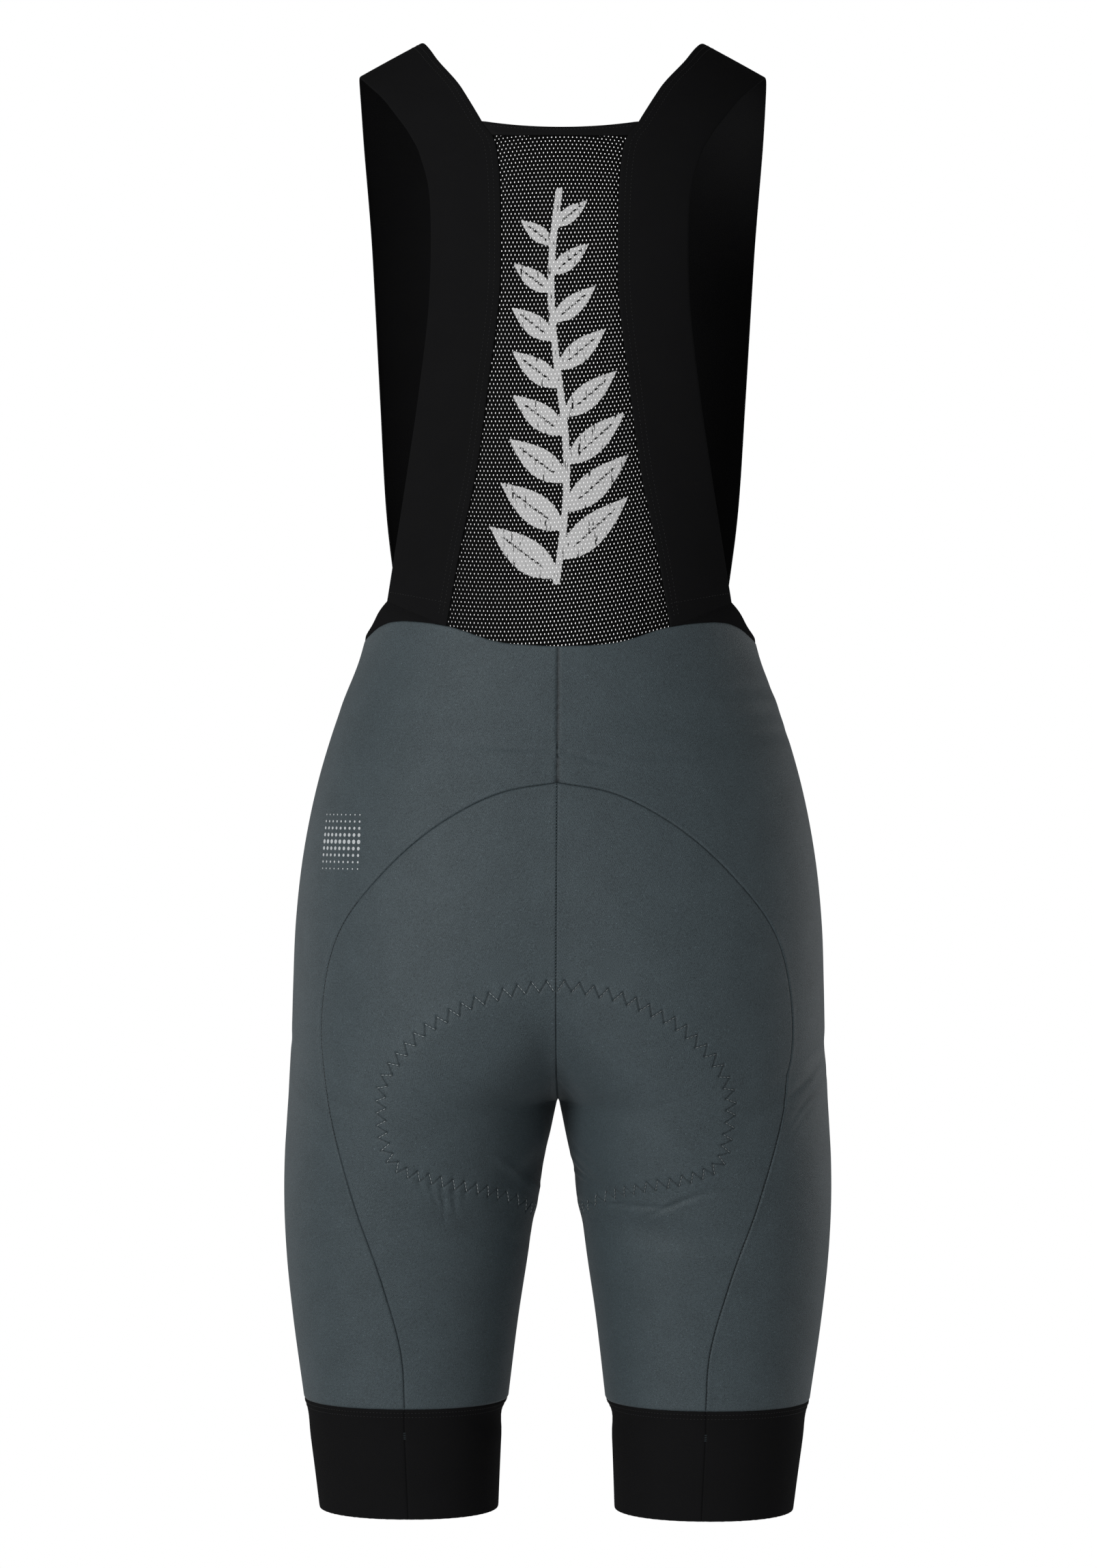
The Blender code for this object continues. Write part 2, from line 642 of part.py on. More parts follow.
def make_bib_side(side):
    """Strap over the shoulder and the band under the arm, one ring of cloth round the armhole."""
    neck, arm = strap_stations()
    share = np.linspace(0.0, 1.0, STRAP_COLUMNS + 1)[None, :, None]
    strap = neck[:, None] * (1 - share) + arm[:, None] * share
    strap_points = strap_point(strap[..., 0], strap[..., 1])
    _, bib, _ = waist_columns()
    back_s, front_s = UNDERARM_EDGE[0].s, UNDERARM_EDGE[-1].s
    arm_s = np.interp(
        bib,
        (BACK_STRAP_S, back_s + ARMHOLE_EASE_S, front_s - ARMHOLE_EASE_S, FRONT_STRAP_S),
        (back_s, back_s + ARMHOLE_EASE_S, front_s - ARMHOLE_EASE_S, front_s),
    )
    waist = np.stack([bib, level(WAIST_SEAM, bib)], axis=-1)
    under = np.stack([arm_s, level(UNDERARM_EDGE, arm_s)], axis=-1)
    band = (waist[:, None] * (1 - share) + under[:, None] * share)[::-1]
    band_points = body_point(band[..., 0], band[..., 1])
    points = np.concatenate([strap_points, band_points[1:-1]])
    normals = outward(points)
    points[:, 0] = inset(points[:, 0], normals[:, 0], 1.0, SEAM_GAP / 2)
    rows, columns = points.shape[:2]
    outer = points.reshape(-1, 3)
    inner = outer - BIB_WALL * normals.reshape(-1, 3)
    count = len(outer)
    faces = sheet_faces(rows, columns, True, False, 0, True)
    faces += sheet_faces(rows, columns, True, False, count, False)
    index = np.arange(count).reshape(rows, columns)
    faces += bridge(index[:, 0], count, False)
    faces += bridge(index[:, -1], count, True)
    return mesh_object(
        side_name("bib_side", side), np.concatenate([outer, inner]), faces, "black_knit", side < 0
    )


def mirrored_run(left_half):
    """Edge from the right side to the left side, from its left half that starts at the centre."""
    right_half = left_half[:0:-1] * (-1.0, 1.0)
    return np.concatenate([right_half, left_half])


def net_levels():
    """Left halves of the net's bottom, the binding's lower edge and the neck edge, as (x, reach)."""
    net, _, _ = waist_columns()
    bottom_points = body_point(net, level(WAIST_SEAM, net))
    bottom = np.stack([bottom_points[:, 0], QUARTER_REACH + CHEST_Z - bottom_points[:, 2]], axis=-1)
    neck, _ = strap_stations()
    corner = NECK_CORNER_ROW * STEPS_PER_STRAP_ROW
    share = np.linspace(0.0, 1.0, NET_COLUMNS + 1)
    edges = []
    for corner_point, dip in ((neck[corner - BINDING_STEPS], NET_TOP_DIP), (neck[corner], NECK_DIP)):
        reach = corner_point[1] + dip * (1 - share**2)
        edges.append(np.stack([corner_point[0] * share, reach], axis=-1))
    return bottom, edges[0], edges[1], neck[: corner + 1]


def make_net():
    """Mesh panel between the back straps."""
    bottom, top, _, seam = net_levels()
    side_edge = seam[: len(seam) - BINDING_STEPS][::-1]
    grid = patch(mirrored_run(top), mirrored_run(bottom), side_edge * (-1.0, 1.0), side_edge)
    points = strap_point(grid[..., 0], grid[..., 1])
    return sewn_panel("mesh_back_panel", points, outward(points), NET_WALL, "black_net")


def make_binding():
    """Narrow binding along the top of the mesh panel."""
    _, lower, upper, seam = net_levels()
    side_edge = seam[-BINDING_STEPS - 1 :][::-1]
    grid = patch(mirrored_run(upper), mirrored_run(lower), side_edge * (-1.0, 1.0), side_edge)
    points = strap_point(grid[..., 0], grid[..., 1])
    return sewn_panel("neck_binding", points, outward(points), BINDING_WALL, "black_binding")


def make_pad():
    """Seat pad inside the shorts, from behind the seat bones under the crotch to the front."""
    ribs = []
    at = np.linspace(0.0, 1.0, PAD_COLUMNS + 1)
    for row in PAD_OUTLINE:
        s = row.start_front + (row.end_s - row.start_front) * at
        z = row.start_z + (row.end_z - row.start_z) * at
        ribs.append(body_point(s, z))
    half = np.stack(ribs)
    half_normals = outward(half)
    flip = np.array([-1.0, 1.0, 1.0])
    left = half + half_normals * relief(half, 1)[..., None]
    right = half + half_normals * relief(half, -1)[..., None]
    points = np.concatenate([right[:, :0:-1] * flip, left], axis=1)
    normals = np.concatenate([half_normals[:, :0:-1] * flip, half_normals], axis=1)
    rows, columns = points.shape[:2]
    across = np.abs(np.linspace(-1.0, 1.0, columns))[None, :]
    along = np.abs(np.linspace(-1.0, 1.0, rows))[:, None]
    fullness = (1 - across**PAD_FULLNESS) * (1 - along**PAD_FULLNESS)
    thickness = PAD_RIM + (PAD_MIDDLE - PAD_RIM) * fullness
    crease = np.exp(-((points[..., 0] / PAD_CREASE_WIDTH) ** 2))
    outer = points - normals * (KNIT_WALL + PAD_GAP + PAD_CREASE_GAP * crease)[..., None]
    inner = outer - normals * thickness[..., None]
    count = rows * columns
    faces = sheet_faces(rows, columns, False, False, 0, False)
    faces += sheet_faces(rows, columns, False, False, count, True)
    faces += bridge(rim_order(rows, columns), count, False)
    solid = np.concatenate([outer.reshape(-1, 3), inner.reshape(-1, 3)])
    return mesh_object("chamois_pad", solid, faces, "pad_knit", False)


def main():
    for obj in list(bpy.data.objects):
        bpy.data.objects.remove(obj, do_unlink=True)
    for side in (1, -1):
        make_outer_panel(side)
        make_seat_panel(side)
        make_gripper(side)
        make_bib_side(side)
    make_net()
    make_binding()
    make_pad()


main()
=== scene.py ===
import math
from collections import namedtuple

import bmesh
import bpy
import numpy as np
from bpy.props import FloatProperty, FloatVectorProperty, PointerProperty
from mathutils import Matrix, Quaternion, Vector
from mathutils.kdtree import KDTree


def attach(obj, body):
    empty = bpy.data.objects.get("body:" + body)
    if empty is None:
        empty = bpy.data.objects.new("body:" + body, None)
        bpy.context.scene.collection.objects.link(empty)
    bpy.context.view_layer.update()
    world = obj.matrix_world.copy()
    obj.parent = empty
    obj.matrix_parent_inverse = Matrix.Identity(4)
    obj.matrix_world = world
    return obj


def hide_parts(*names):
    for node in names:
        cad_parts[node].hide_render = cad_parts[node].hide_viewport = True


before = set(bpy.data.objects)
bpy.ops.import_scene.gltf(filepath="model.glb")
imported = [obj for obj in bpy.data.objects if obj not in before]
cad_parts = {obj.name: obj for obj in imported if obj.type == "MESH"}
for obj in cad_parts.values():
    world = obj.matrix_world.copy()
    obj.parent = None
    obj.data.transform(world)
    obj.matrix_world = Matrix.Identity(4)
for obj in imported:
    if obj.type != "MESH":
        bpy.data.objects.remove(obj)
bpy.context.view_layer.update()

# Cycling bib shorts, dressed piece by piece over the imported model, laid out as an add-on.
#
# Lengths in the tables are in millimetres and become metres when a mesh is made. The shorts face -Y, the
# back is towards +Y and +Z is up, and the origin lies midway between the tops of the shoulder straps. A
# place on the shorts is (s, z): s runs from 0 at the centre back round the outside to 1 at the centre front.
# A place on the straps and the net is (x, reach): reach is the distance down the back from the shoulder
# line, and it is negative down the front. Left pieces are modelled, and right ones mirror them but for the
# folds. side is 1 for the left half and -1 for the right one.

bl_info = {
    "name": "Cycling Bib Shorts",
    "version": (1, 0, 0),
    "blender": (4, 5, 0),
    "location": "3D View > Sidebar > Bib Shorts",
    "description": "Sewn cycling bib shorts in knit, net and elastic, piece by piece",
    "category": "Object",
}

MM = 0.001
SIDES = (1, -1)
SHARP_ANGLE = 55.0


def table(columns, *rows):
    """A table's rows, with its columns by name."""
    Row = namedtuple("Row", columns)
    return [Row(*row) for row in rows]


def column_of(rows, name):
    return [getattr(row, name) for row in rows]


def read(rows, at, known, wanted):
    """A table's wanted column at values of its known one, in straight steps."""
    return np.interp(at, column_of(rows, known), column_of(rows, wanted))


# The body form: each row is a level section.
#   centre: where the section is deepest, from the centre plane
#   outer:  half-width of the garment
#   inner:  inner end of the section, joined to its mirror image while it is under CENTRE_ROUND
#   back, front: depth of the section behind and before the shoulder line
#   spread: angle that spaces the section's points, away from where it is cut
BODY = table(
    "z centre outer inner back front spread",
    (-130, 0, 150, -150, 108, -112, 92),
    (-190, 0, 147, -147, 106, -113, 92),
    (-260, 0, 139, -139, 98, -111, 92),
    (-330, 0, 127, -127, 91, -106, 92),
    (-380, 0, 125, -126, 90.5, -102, 92),
    (-424, 2, 140.5, -142, 94, -104, 92),
    (-470, 6, 154.2, -160, 103.5, -108.5, 92),
    (-516, 14, 163.2, -176, 112.5, -111.5, 92),
    (-560, 28, 167.7, -174, 118, -111.5, 95),
    (-600, 45, 169.1, -110, 118, -109, 102),
    (-634, 63, 170, -42, 112.5, -105, 117),
    (-656, 77, 171.2, -8, 107.5, -102.5, 133),
    (-673, 86, 172.1, 10, 103.5, -101, 147),
    (-676, 87.1, 172.3, 10.08, 102.9, -100.7, 149.2),
    (-690, 90, 173.2, 11.14, 100.3, -99.4, 158.2),
    (-703, 91.5, 174, 12.8, 98, -98, 165),
    (-738, 94, 174.5, 17.4, 91.5, -93, 177),
    (-773, 95.5, 172.7, 21.6, 85, -87, 180),
    (-808, 96.5, 169, 26.4, 78.5, -80.5, 180),
    (-862, 97, 161.4, 32.6, 70, -70.5, 180),
)
SECTION_POWER = 2.2
CENTRE_ROUND = 10.0
EDGE_HOLD = 4
NEWTON_STEPS = 12
SLOPE_STEP = 0.05
CROTCH_Z = -673.0
HEM_Z = -862.0

# The shoulder domes over the topmost section.
CHEST_Z = BODY[0].z
QUARTER_REACH = 180.0
SHOULDER_X = 90.0
SHOULDER_FALL = 0.571
NECK_FLAT = 40.0

# Height of the waist seam and of the band's top edge under the arm, round the body by s.
WAIST_SEAM = table(
    "s z",
    (0, -386.2), (0.08, -383.8), (0.18, -373.8), (0.25, -370.6), (0.32, -370.2), (0.37, -373),
    (0.42, -378), (0.5, -381.5), (0.6, -383.5), (0.75, -388.5), (1, -396),
)
UNDERARM_EDGE = table(
    "s z",
    (0.338, -357), (0.37, -362.5), (0.41, -371), (0.45, -375.5), (0.5, -377.5), (0.56, -375.5),
    (0.62, -368), (0.67, -357),
)
BACK_STRAP_S = 0.185
FRONT_STRAP_S = 0.797
ARMHOLE_EASE_S = 0.02

# The strap between its two waist ends: its neck edge and its arm edge, over the shoulder from back to front.
STRAP = table(
    "neck_reach neck_x arm_reach arm_x",
    (375, 61.2, 374, 103), (327, 50.9, 327, 95), (274, 43.5, 277, 87.2), (220, 36.8, 222, 80.9),
    (171, 36.3, 166, 80.5), (140, 39.6, 138, 87), (126, 48.5, 122, 94), (102, 61.5, 94, 107.8),
    (62, 80, 50, 124), (0, 90, 0, 130), (-90, 86, -90, 130), (-180, 78, -180, 124.8),
    (-270, 74, -270, 119.8), (-350, 74.5, -345, 115),
)
STEPS_PER_STRAP_ROW = 3
NECK_CORNER_ROW = 7
BINDING_STEPS = 2
NECK_DIP = 8.0
NET_TOP_DIP = 3.5

# The arched seam from the centre back, over the seat and down the back of the leg to the hem.
ARCH_SEAM = table(
    "x z",
    (0, -470.5), (34, -476.8), (68, -493.5), (108, -527), (135, -563), (146.3, -615), (142.2, -666.6),
    (126.2, -729.7), (107.4, -783.6), (95.5, -830), (93.8, -862),
)

# How many steps each seam is divided into. Pieces on both sides of a seam share its points. A patch's
# columns follow its top edge, measured with the two weights on its plane coordinates.
NET_COLUMNS = 5
BIB_WAIST_COLUMNS = 12
FRONT_EDGE_COLUMNS = 5
CENTRE_BACK_ROWS = 5
ARCH_STEPS = 28
SEAT_COLUMNS = 9
INSEAM_ROWS = 10
CENTRE_CROWDING = 1.5
ARCH_CROWDING = 1.2
DENSE_STEPS = 400
TOP_EDGE_WEIGHTS = (1.0, 0.001)

# The gripper band below its join to the leg: how far it falls, and its half-widths and depths there.
GRIPPER = table(
    "drop outer inner back front",
    (6, 159.2, 34.2, 68, -68.5),
    (24, 157, 35.2, 66.2, -66.6),
    (48, 153.8, 36.2, 63.6, -64),
    (70, 151, 37, 61.4, -61.8),
)

# The pad inside the seat: its outline on the left half, from the centre back down round the inner thigh
# and up to the centre front, and how far along its middle line the rib to that point starts.
PAD_OUTLINE = table(
    "start_z start_front end_s end_z",
    (-597, 0, 0.05, -596.5), (-607, 0, 0.115, -603), (-620, 0, 0.185, -620), (-634, 0, 0.232, -643),
    (-648, 0, 0.252, -668), (-659, 0, 0.253, -693), (-667, 0, 0.222, -717), (-671.5, 0, 0.128, -730),
    (-673, 0, 0, -741), (-671.5, 1, 0.93, -724), (-666, 1, 0.9, -700), (-655, 1, 0.885, -676),
    (-638, 1, 0.895, -650), (-618, 1, 0.918, -624), (-600, 1, 0.95, -603),
)
PAD_COLUMNS = 7
PAD_CREASE_GAP = 3.4
PAD_CREASE_WIDTH = 60.0
PAD_RIM = 2.0
PAD_MIDDLE = 7.0
PAD_UNDER = 2.25
PAD_FULLNESS = 4

# The swelling that the pad gives the seat, one lobe behind each thigh. It and the folds below fade out
# over the depth of the side.
LOBE_X = 56.0
LOBE_Z = -664.0
LOBE_HALF_WIDTH = 66.0
LOBE_HALF_HEIGHT = 80.0
LOBE_RISE = 3.6
LOBE_FALL = 1.5
SIDE_FADE = 40.0

# The largest folds, as soft troughs: middle, length, slope of the fold in degrees, width and depth.
FOLDS = table(
    "side x z length slope width depth",
    (1, 22, -716, 46, -38, 15, 2),
    (-1, 24, -722, 50, -28, 15, 2.2),
    (1, 62, -748, 60, 10, 18, 1.4),
    (-1, 66, -752, 84, -6, 18, 1.6),
    (-1, 148, -652, 54, 34, 16, 1.6),
    (-1, 92, -436, 90, 6, 20, 1.2),
)
FOLD_END = 4

# How finely each piece is modelled, and the closer rows beside a seam as shares of the first cell.
OUTER_FINENESS = 5
SEAT_FINENESS = 6
BIB_ROW_FINENESS = 5
BIB_COLUMNS = 26
RIM_STEPS = (0.07, 0.17, 0.33, 0.6)
LINE_STEP = 0.4
PLANE_SPAN = 330.0

# How the cloth stands beside a seam, and how much shade is painted into the seam's groove there, by distance
# from it.
PLAIN_SEAM = table(
    "distance rise shade",
    (0, -0.8, 1), (0.22, -0.4, 0.45), (0.5, -0.06, 0), (1, 0.1, 0), (2.4, 0.06, 0), (4.5, 0, 0),
)
RIDGE_SEAM = table(
    "distance rise shade",
    (0, -0.8, 1), (0.22, -0.4, 0.5), (0.6, 0, 0), (1.5, 0.34, 0), (2.3, 0.12, 0), (4, 0, 0),
)
SOFT_SEAM = table(
    "distance rise shade",
    (0, -0.6, 0.8), (0.4, -0.25, 0.3), (1, -0.04, 0), (2, 0, 0),
)
BIB_EDGE = table(
    "distance rise shade",
    (0, -0.5, 0), (0.35, -0.2, 0), (0.9, -0.03, 0), (1.6, 0, 0),
)
GRIPPER_EDGE = table(
    "distance rise shade",
    (0, -0.7, 0), (0.5, -0.3, 0), (1.2, 0, 0), (69, 0, 0), (70, -0.15, 0),
)

# How strongly the painted shade in the arched seam's groove shows down its length, on the left and on the
# right.
ARCH_GROOVE_SHADE = table(
    "z left right",
    (-862, 0.75, 0.95), (-700, 0.75, 0.95), (-655, 0.7, 0.8), (-640, 0.6, 0.4), (-560, 0.6, 0.6),
    (-530, 0.45, 0.8), (-505, 0.25, 0.85), (-485, 0.5, 0.9), (-470, 0.85, 1),
)

# The smaller folds: the half each is on (0 for both), where it lies, its length, slope in degrees, width,
# rise and how far its ends bend away. facing is 1 on the back and -1 on the front.
CREASES = table(
    "side facing x z length slope width rise bend",
    (0, 1, 0, -655, 64, 90, 30, -3, 0),
    (-1, 1, 5.5, -660, 17, -49, 3.6, 1.1, 0),
    (1, 1, 84, -719, 20, 72, 5, -1.27, 1.5),
    (1, 1, 76.5, -722.5, 24, 76, 4.6, -1.46, 1),
    (1, 1, 70, -726, 27, 80, 4.6, -1.46, -1),
    (1, 1, 63.5, -726.5, 22, 84, 4.2, -1.09, 0.5),
    (1, 1, 57, -724, 15, 88, 4, -0.52, 0),
    (1, 1, 10, -700, 44, 84, 5, 1.17, 1),
    (1, 1, 25, -716, 42, 46, 6, 1.3, -1.5),
    (1, 1, 15, -724, 16, 56, 2.6, 0.78, 0),
    (1, 1, 46, -752, 60, 22, 9, -1.1, 2),
    (-1, 1, 44, -733.5, 50, 1.5, 3.2, -1.5, -0.5),
    (-1, 1, 75, -730.5, 42, 24, 4.2, -1.35, -1.5),
    (-1, 1, 52, -746, 60, -4, 9, -0.78, 1.5),
    (-1, 1, 14, -713, 16, -44, 3, 1.17, 0.5),
    (-1, 1, 15.5, -719.5, 14, -24, 3, 1.04, 0),
    (-1, 1, 24, -709, 30, -36, 6, -1.04, 1),
    (-1, 1, 155, -657, 34, 43, 4.6, -1.17, 1.5),
    (-1, 1, 157, -667, 30, 47, 4.4, -1.17, -1),
    (-1, 1, 155, -677, 22, 50, 4, -0.78, 0),
    (-1, 1, 149, -648, 34, 30, 5, -0.65, 1),
    (-1, 1, 118, -412, 70, 3, 9, -1, 2),
    (-1, 1, 96, -427, 90, 5, 8, -0.95, -2),
    (-1, 1, 126, -441, 70, 8, 8, -0.9, 2),
    (-1, 1, 84, -452, 64, 2, 8, -0.7, 1),
    (1, 1, 24, -450, 46, 2, 3.6, -0.5, 1),
    (-1, 1, 21, -456, 36, -14, 3.6, -0.55, 0.5),
    (-1, 1, 58, -455, 38, 4, 3.6, -0.5, -0.5),
    (-1, 1, 72, -440, 52, 12, 4, -0.5, 1),
    (1, 1, 104, -424, 84, -4, 11, -0.45, -2),
    (1, 1, 60, -446, 70, 3, 12, -0.39, 2),
    (0, 1, 136, -404, 74, -62, 5, 0.91, -2),
    (1, -1, 60, -610, 70, 28, 12, -1.69, 3),
    (1, -1, 74, -634, 60, 38, 9, -1.17, 2),
    (-1, -1, 56, -606, 76, 24, 12, -1.69, 3),
    (-1, -1, 68, -630, 52, 36, 9, -1.17, -2),
    (1, -1, 22, -650, 36, 58, 6, -1.04, 1),
    (-1, -1, 20, -652, 34, 60, 6, -1.04, 1),
    (1, -1, 64, -742, 60, 6, 9, -0.91, 2),
    (-1, -1, 70, -748, 70, -5, 9, -1.04, 2),
    (1, -1, 70, -424, 80, 4, 11, -0.65, 2),
    (-1, -1, 80, -432, 80, -3, 11, -0.65, 2),
    (0, 1, 165, -640, 40, 55, 6, -0.52, 1),
)
CREASE_FADE = 24.0
CREASE_FLARE = 0.35
CREASE_BANK = 0.32

# The pad's sewn outline on the left half, from the centre back round to the inner thigh.
PAD_SEWING = table(
    "end_s end_z",
    (0, -595), (0.0401, -599.8), (0.0825, -608.5), (0.1418, -623.1), (0.2014, -644.6), (0.2341, -664.2),
    (0.2462, -683.7), (0.2489, -701.3), (0.2332, -712), (0.19, -718.3), (0.1366, -724.4),
    (0.0884, -731.2), (0.048, -738.2), (0, -742),
)
# The zigzag's pitch as it looks from behind, by height.
ZIGZAG_PITCHES = table(
    "z pitch",
    (-742, 6.2), (-730, 6.9), (-712, 7.3), (-690, 7.4), (-650, 7.9), (-595, 8.9),
)
LEAST_APPARENT = 0.5
ZIGZAG_START = 1.5
ZIGZAG_SLANT = -0.04
ZIGZAG_WANDER = 0.08
WANDER_TURN = 2.4
PAD_STEP = 1.3
PAD_STEP_WIDTH = 5.0
PAD_STEP_REACH = 60.0
PUFF_RISE = 0.5
PUFF_WIDTH = 7.0
FURROW_DEPTH = 0.5
FURROW_WIDTH = 0.6
DIMPLE_DEPTH = 0.45
DIMPLE_WIDTH = 1.2
# How wide the shade painted into the zigzag's furrow is, and how strong it is on every second leg and on the
# others, for the left half and for the right one.
FURROW_SHADE_WIDTH = 0.42
LEG_FURROW_SHADE = {1: (0.25, 0.62), -1: (0.4, 0.75)}

# How finely the cloth is parted near a line: reach on each side and longest edge allowed there.
OUTLINE_REACH, OUTLINE_EDGE = 6.5, 1.5
ZIGZAG_REACH, ZIGZAG_EDGE = 0.9, 0.45
CREASE_REACH, CREASE_EDGE = 4.0, 1.5
CREASE_NARROW = 7.0
REFINE_ROUNDS = 5

# How the net hangs, and how it dips under the pieces sewn over its edges. Its holes are in the settings.
NET_UNDER = 2.4
NET_UNDER_TOP = 3.0
NET_SUNK = 1.35
NET_EASE = 5.0
NET_EASE_POWER = 1.5
NET_REST = 0.35
NET_TOP_REACH = 100.0
NET_BOTTOM_REACH = 440.0
NET_HALF = 84.0
NET_WIDENING = 0.13
NET_WIDENING_DOWN = 60.0
NET_WIDENING_FALL = 10.0
NET_BELOW = 26.0
NET_BOW = 0.00129
NET_TILT = -0.092
NET_BOW_FALL = 300.0
BINDING_REACH = 1.08
BINDING_TUCK = 1.3
BINDING_CORNER = 0.985
BINDING_COLUMNS = 48
GRIPPER_COLUMNS = 192
GRIPPER_ROUND = 410.0
GRIPPER_DROPS = (
    0.12, 0.35, 0.7, 1.2, 2, 3, 4.5, 6.5, 9, 12, 16, 20, 25, 30, 36, 42, 48, 54, 59, 63, 66, 68, 69.2, 69.8,
)
RAW_EDGE = 0.05
RAW_WAVES = ((61.0, 0.0), (97.0, 1.3))
BAND_SEAM_CLEAR = 1.5
PAD_FINENESS = 4
WEAVE_LAYER = "cloth"
# The layer that carries the shade painted into the seams' grooves and the zigzag's furrow.
GROOVE_SHADE_LAYER = "groove"
PRINT_LAYER = "print"
WEAVE_ROWS = 90
WEAVE_COLUMNS = 90
WEAVE_BELOW = 80.0
WAIST_COLUMNS = NET_COLUMNS + BIB_WAIST_COLUMNS + FRONT_EDGE_COLUMNS
SEAT_GRAIN_TURN = 5.0
YARN_CROWN = 0.14

# The sprig printed on the net: a swaying stem with pairs of leaves that grow smaller upwards.
PRINT_BOTTOM = 318.0
PRINT_TOP = 84.0
PRINT_REACH = 1.5
STEM_HALF = 2.1
STEM_TAIL = 10.0
STEM_SWAY = 5.0
LEAF_PAIRS = 8
LEAF_STAGGER = 5.5
LEAF_LEAN = 52.0
LEAF_LENGTH = 54.0
LEAF_HALF = 10.0
LEAF_SHRINK = 0.52
LEAF_POWER = 0.8
VEIN_HALF = 0.55
VEIN_START = 0.2
VEIN_END = 0.8

# The field of small pale dots on the left hip: its middle on the cloth, spacing, reach in dots and size.
DotField = namedtuple("DotField", "round z pitch columns rows size")
HIP_DOTS = DotField(147.0, -508.0, 4.2, 4, 4, 1.35)

# Rows of stitches.
STITCH = table(
    "share thickness lift",
    (0, 0.35, -0.7), (0.25, 0.95, 0.25), (0.75, 0.95, 0.25), (1, 0.35, -0.7),
)
STITCH_SIDES = 5
LEG_STITCHES = ((0.04, 0.3), (0.37, 0.63), (0.7, 0.96))
RAISED_THREAD, RAISED_SUNK = 0.24, 0.12
SUNK_THREAD, SUNK_SUNK = 0.17, 0.34
# The arched seam's dots: dark thread sunk in the groove, standing in for the shade in its needle holes.
ARCH_DOT_PITCH, ARCH_DOT_SHARE, ARCH_DOT_THREAD, ARCH_DOT_SUNK = 2.3, 0.5, 0.36, 0.42
ARCH_DOTS_LEFT = (-545.0, -700.0)
ARCH_DOTS_RIGHT = (-655.0, -861.0)
ROPE_TOP, ROPE_BOTTOM = -471.5, -601.0
ROPE_PITCH, ROPE_HALF, ROPE_SLANT, ROPE_THREAD, ROPE_SUNK = 1.9, 0.75, 1.6, 0.34, 0.2
STRAP_STITCH_ROWS = (4.0, 7.4)
STRAP_STITCH_END = 0.12
STRAP_PITCH, STRAP_SHARE, STRAP_THREAD = 2.4, 0.5, 0.17
STRAP_BASE_DROP = (8.5, 2.0)
STRAP_BASE_SHARES = (0.02, 0.97)
HEM_STITCH_DROPS = (2.2, 5.0)
HEM_PITCH, HEM_SHARE, HEM_THREAD = 2.2, 0.5, 0.17
BINDING_STITCH_HEIGHT, BINDING_STITCH_END = 0.7, 0.95
BINDING_PITCH, BINDING_SHARE, BINDING_THREAD = 2.2, 0.6, 0.2
BAND_SEAM = ((-1.0, 0.0), (-0.5, -0.1), (-0.15, -0.45), (0.0, -0.6), (0.15, -0.45), (0.5, -0.1), (1.0, 0.0))
TACK_DROPS = (15.0, 16.2, 17.4, 18.6)
TACK_HALF, TACK_THREAD = 0.75, 0.16

# The shading of the cloths. Scales of noises are in cycles a millimetre, and edges are the two values
# between which a mask fades.
RIB_LEAN = (0.82, 0.57)
YARN_WANDER, YARN_WANDER_SCALE = 1.1, 0.16
PATCHES, PATCH_SCALE = 0.6, 0.035
FLECK_EDGE = (0.16, 0.05)
FLECK_LIGHTER = 2.6
DOT_SHRINK, DOT_EDGE, DOT_RISE = 0.16, (-0.12, 0.12), 1.5
SLATE_SPREAD, SLATE_SHEEN_TINT = 0.62, (0.85, 0.93, 1.0)
# How dark the painted shade in the grooves gets, as a share of the slate's colour.
GROOVE_SHADE_COLOUR = 0.08
BLACK_SPREAD, INK_SPREAD, THREAD_SPREAD = 0.35, 0.16, 0.5
GLOSS_SPREAD = 0.06
INK_RAGGED, INK_RAGGED_SCALE, INK_EDGE = 2.4, 0.9, (-0.12, 0.2)
STREAK_TURN, STREAK_SCALE, STREAK_EDGE = 38.0, (0.5, 0.07, 1.0), (0.33, 0.4)
THREAD_TWIST_SCALE = 3.0

# The stage, in metres and degrees.
CAMERA_PLACE = (-0.043, 3.0, -0.472)
CAMERA_TARGET = (0.007, 0.0, -0.4715)
CAMERA_ROLL = 0.25
SENSOR = 36.0
FLOOR_RADIUS = 1.9
FLOOR_Z = -1.35
FLOOR_EDGES = 96
FLOOR_COLOUR = (0.86, 0.86, 0.87)
FLOOR_ROUGHNESS = 0.9

# The lights: the setting of each one's power and how many times it is taken, and its place, aim and width.
LIGHTS = table(
    "name power times place target width",
    ("key", "key_power", 1.0, (1.7, 2.4, 0.3), (0.0, 0.0, -0.5), 1.5),
    ("fill", "fill_power", 1.0, (-2.2, 1.9, -0.2), (0.0, 0.0, -0.5), 1.8),
    ("rim_left", "rim_power", 1.0, (1.7, -1.1, -0.5), (0.1, 0.0, -0.6), 0.9),
    ("rim_right", "rim_power", 1.6, (-1.7, -1.1, -0.5), (-0.1, 0.0, -0.6), 0.9),
)


# ---------------------------------------------------------------- curves

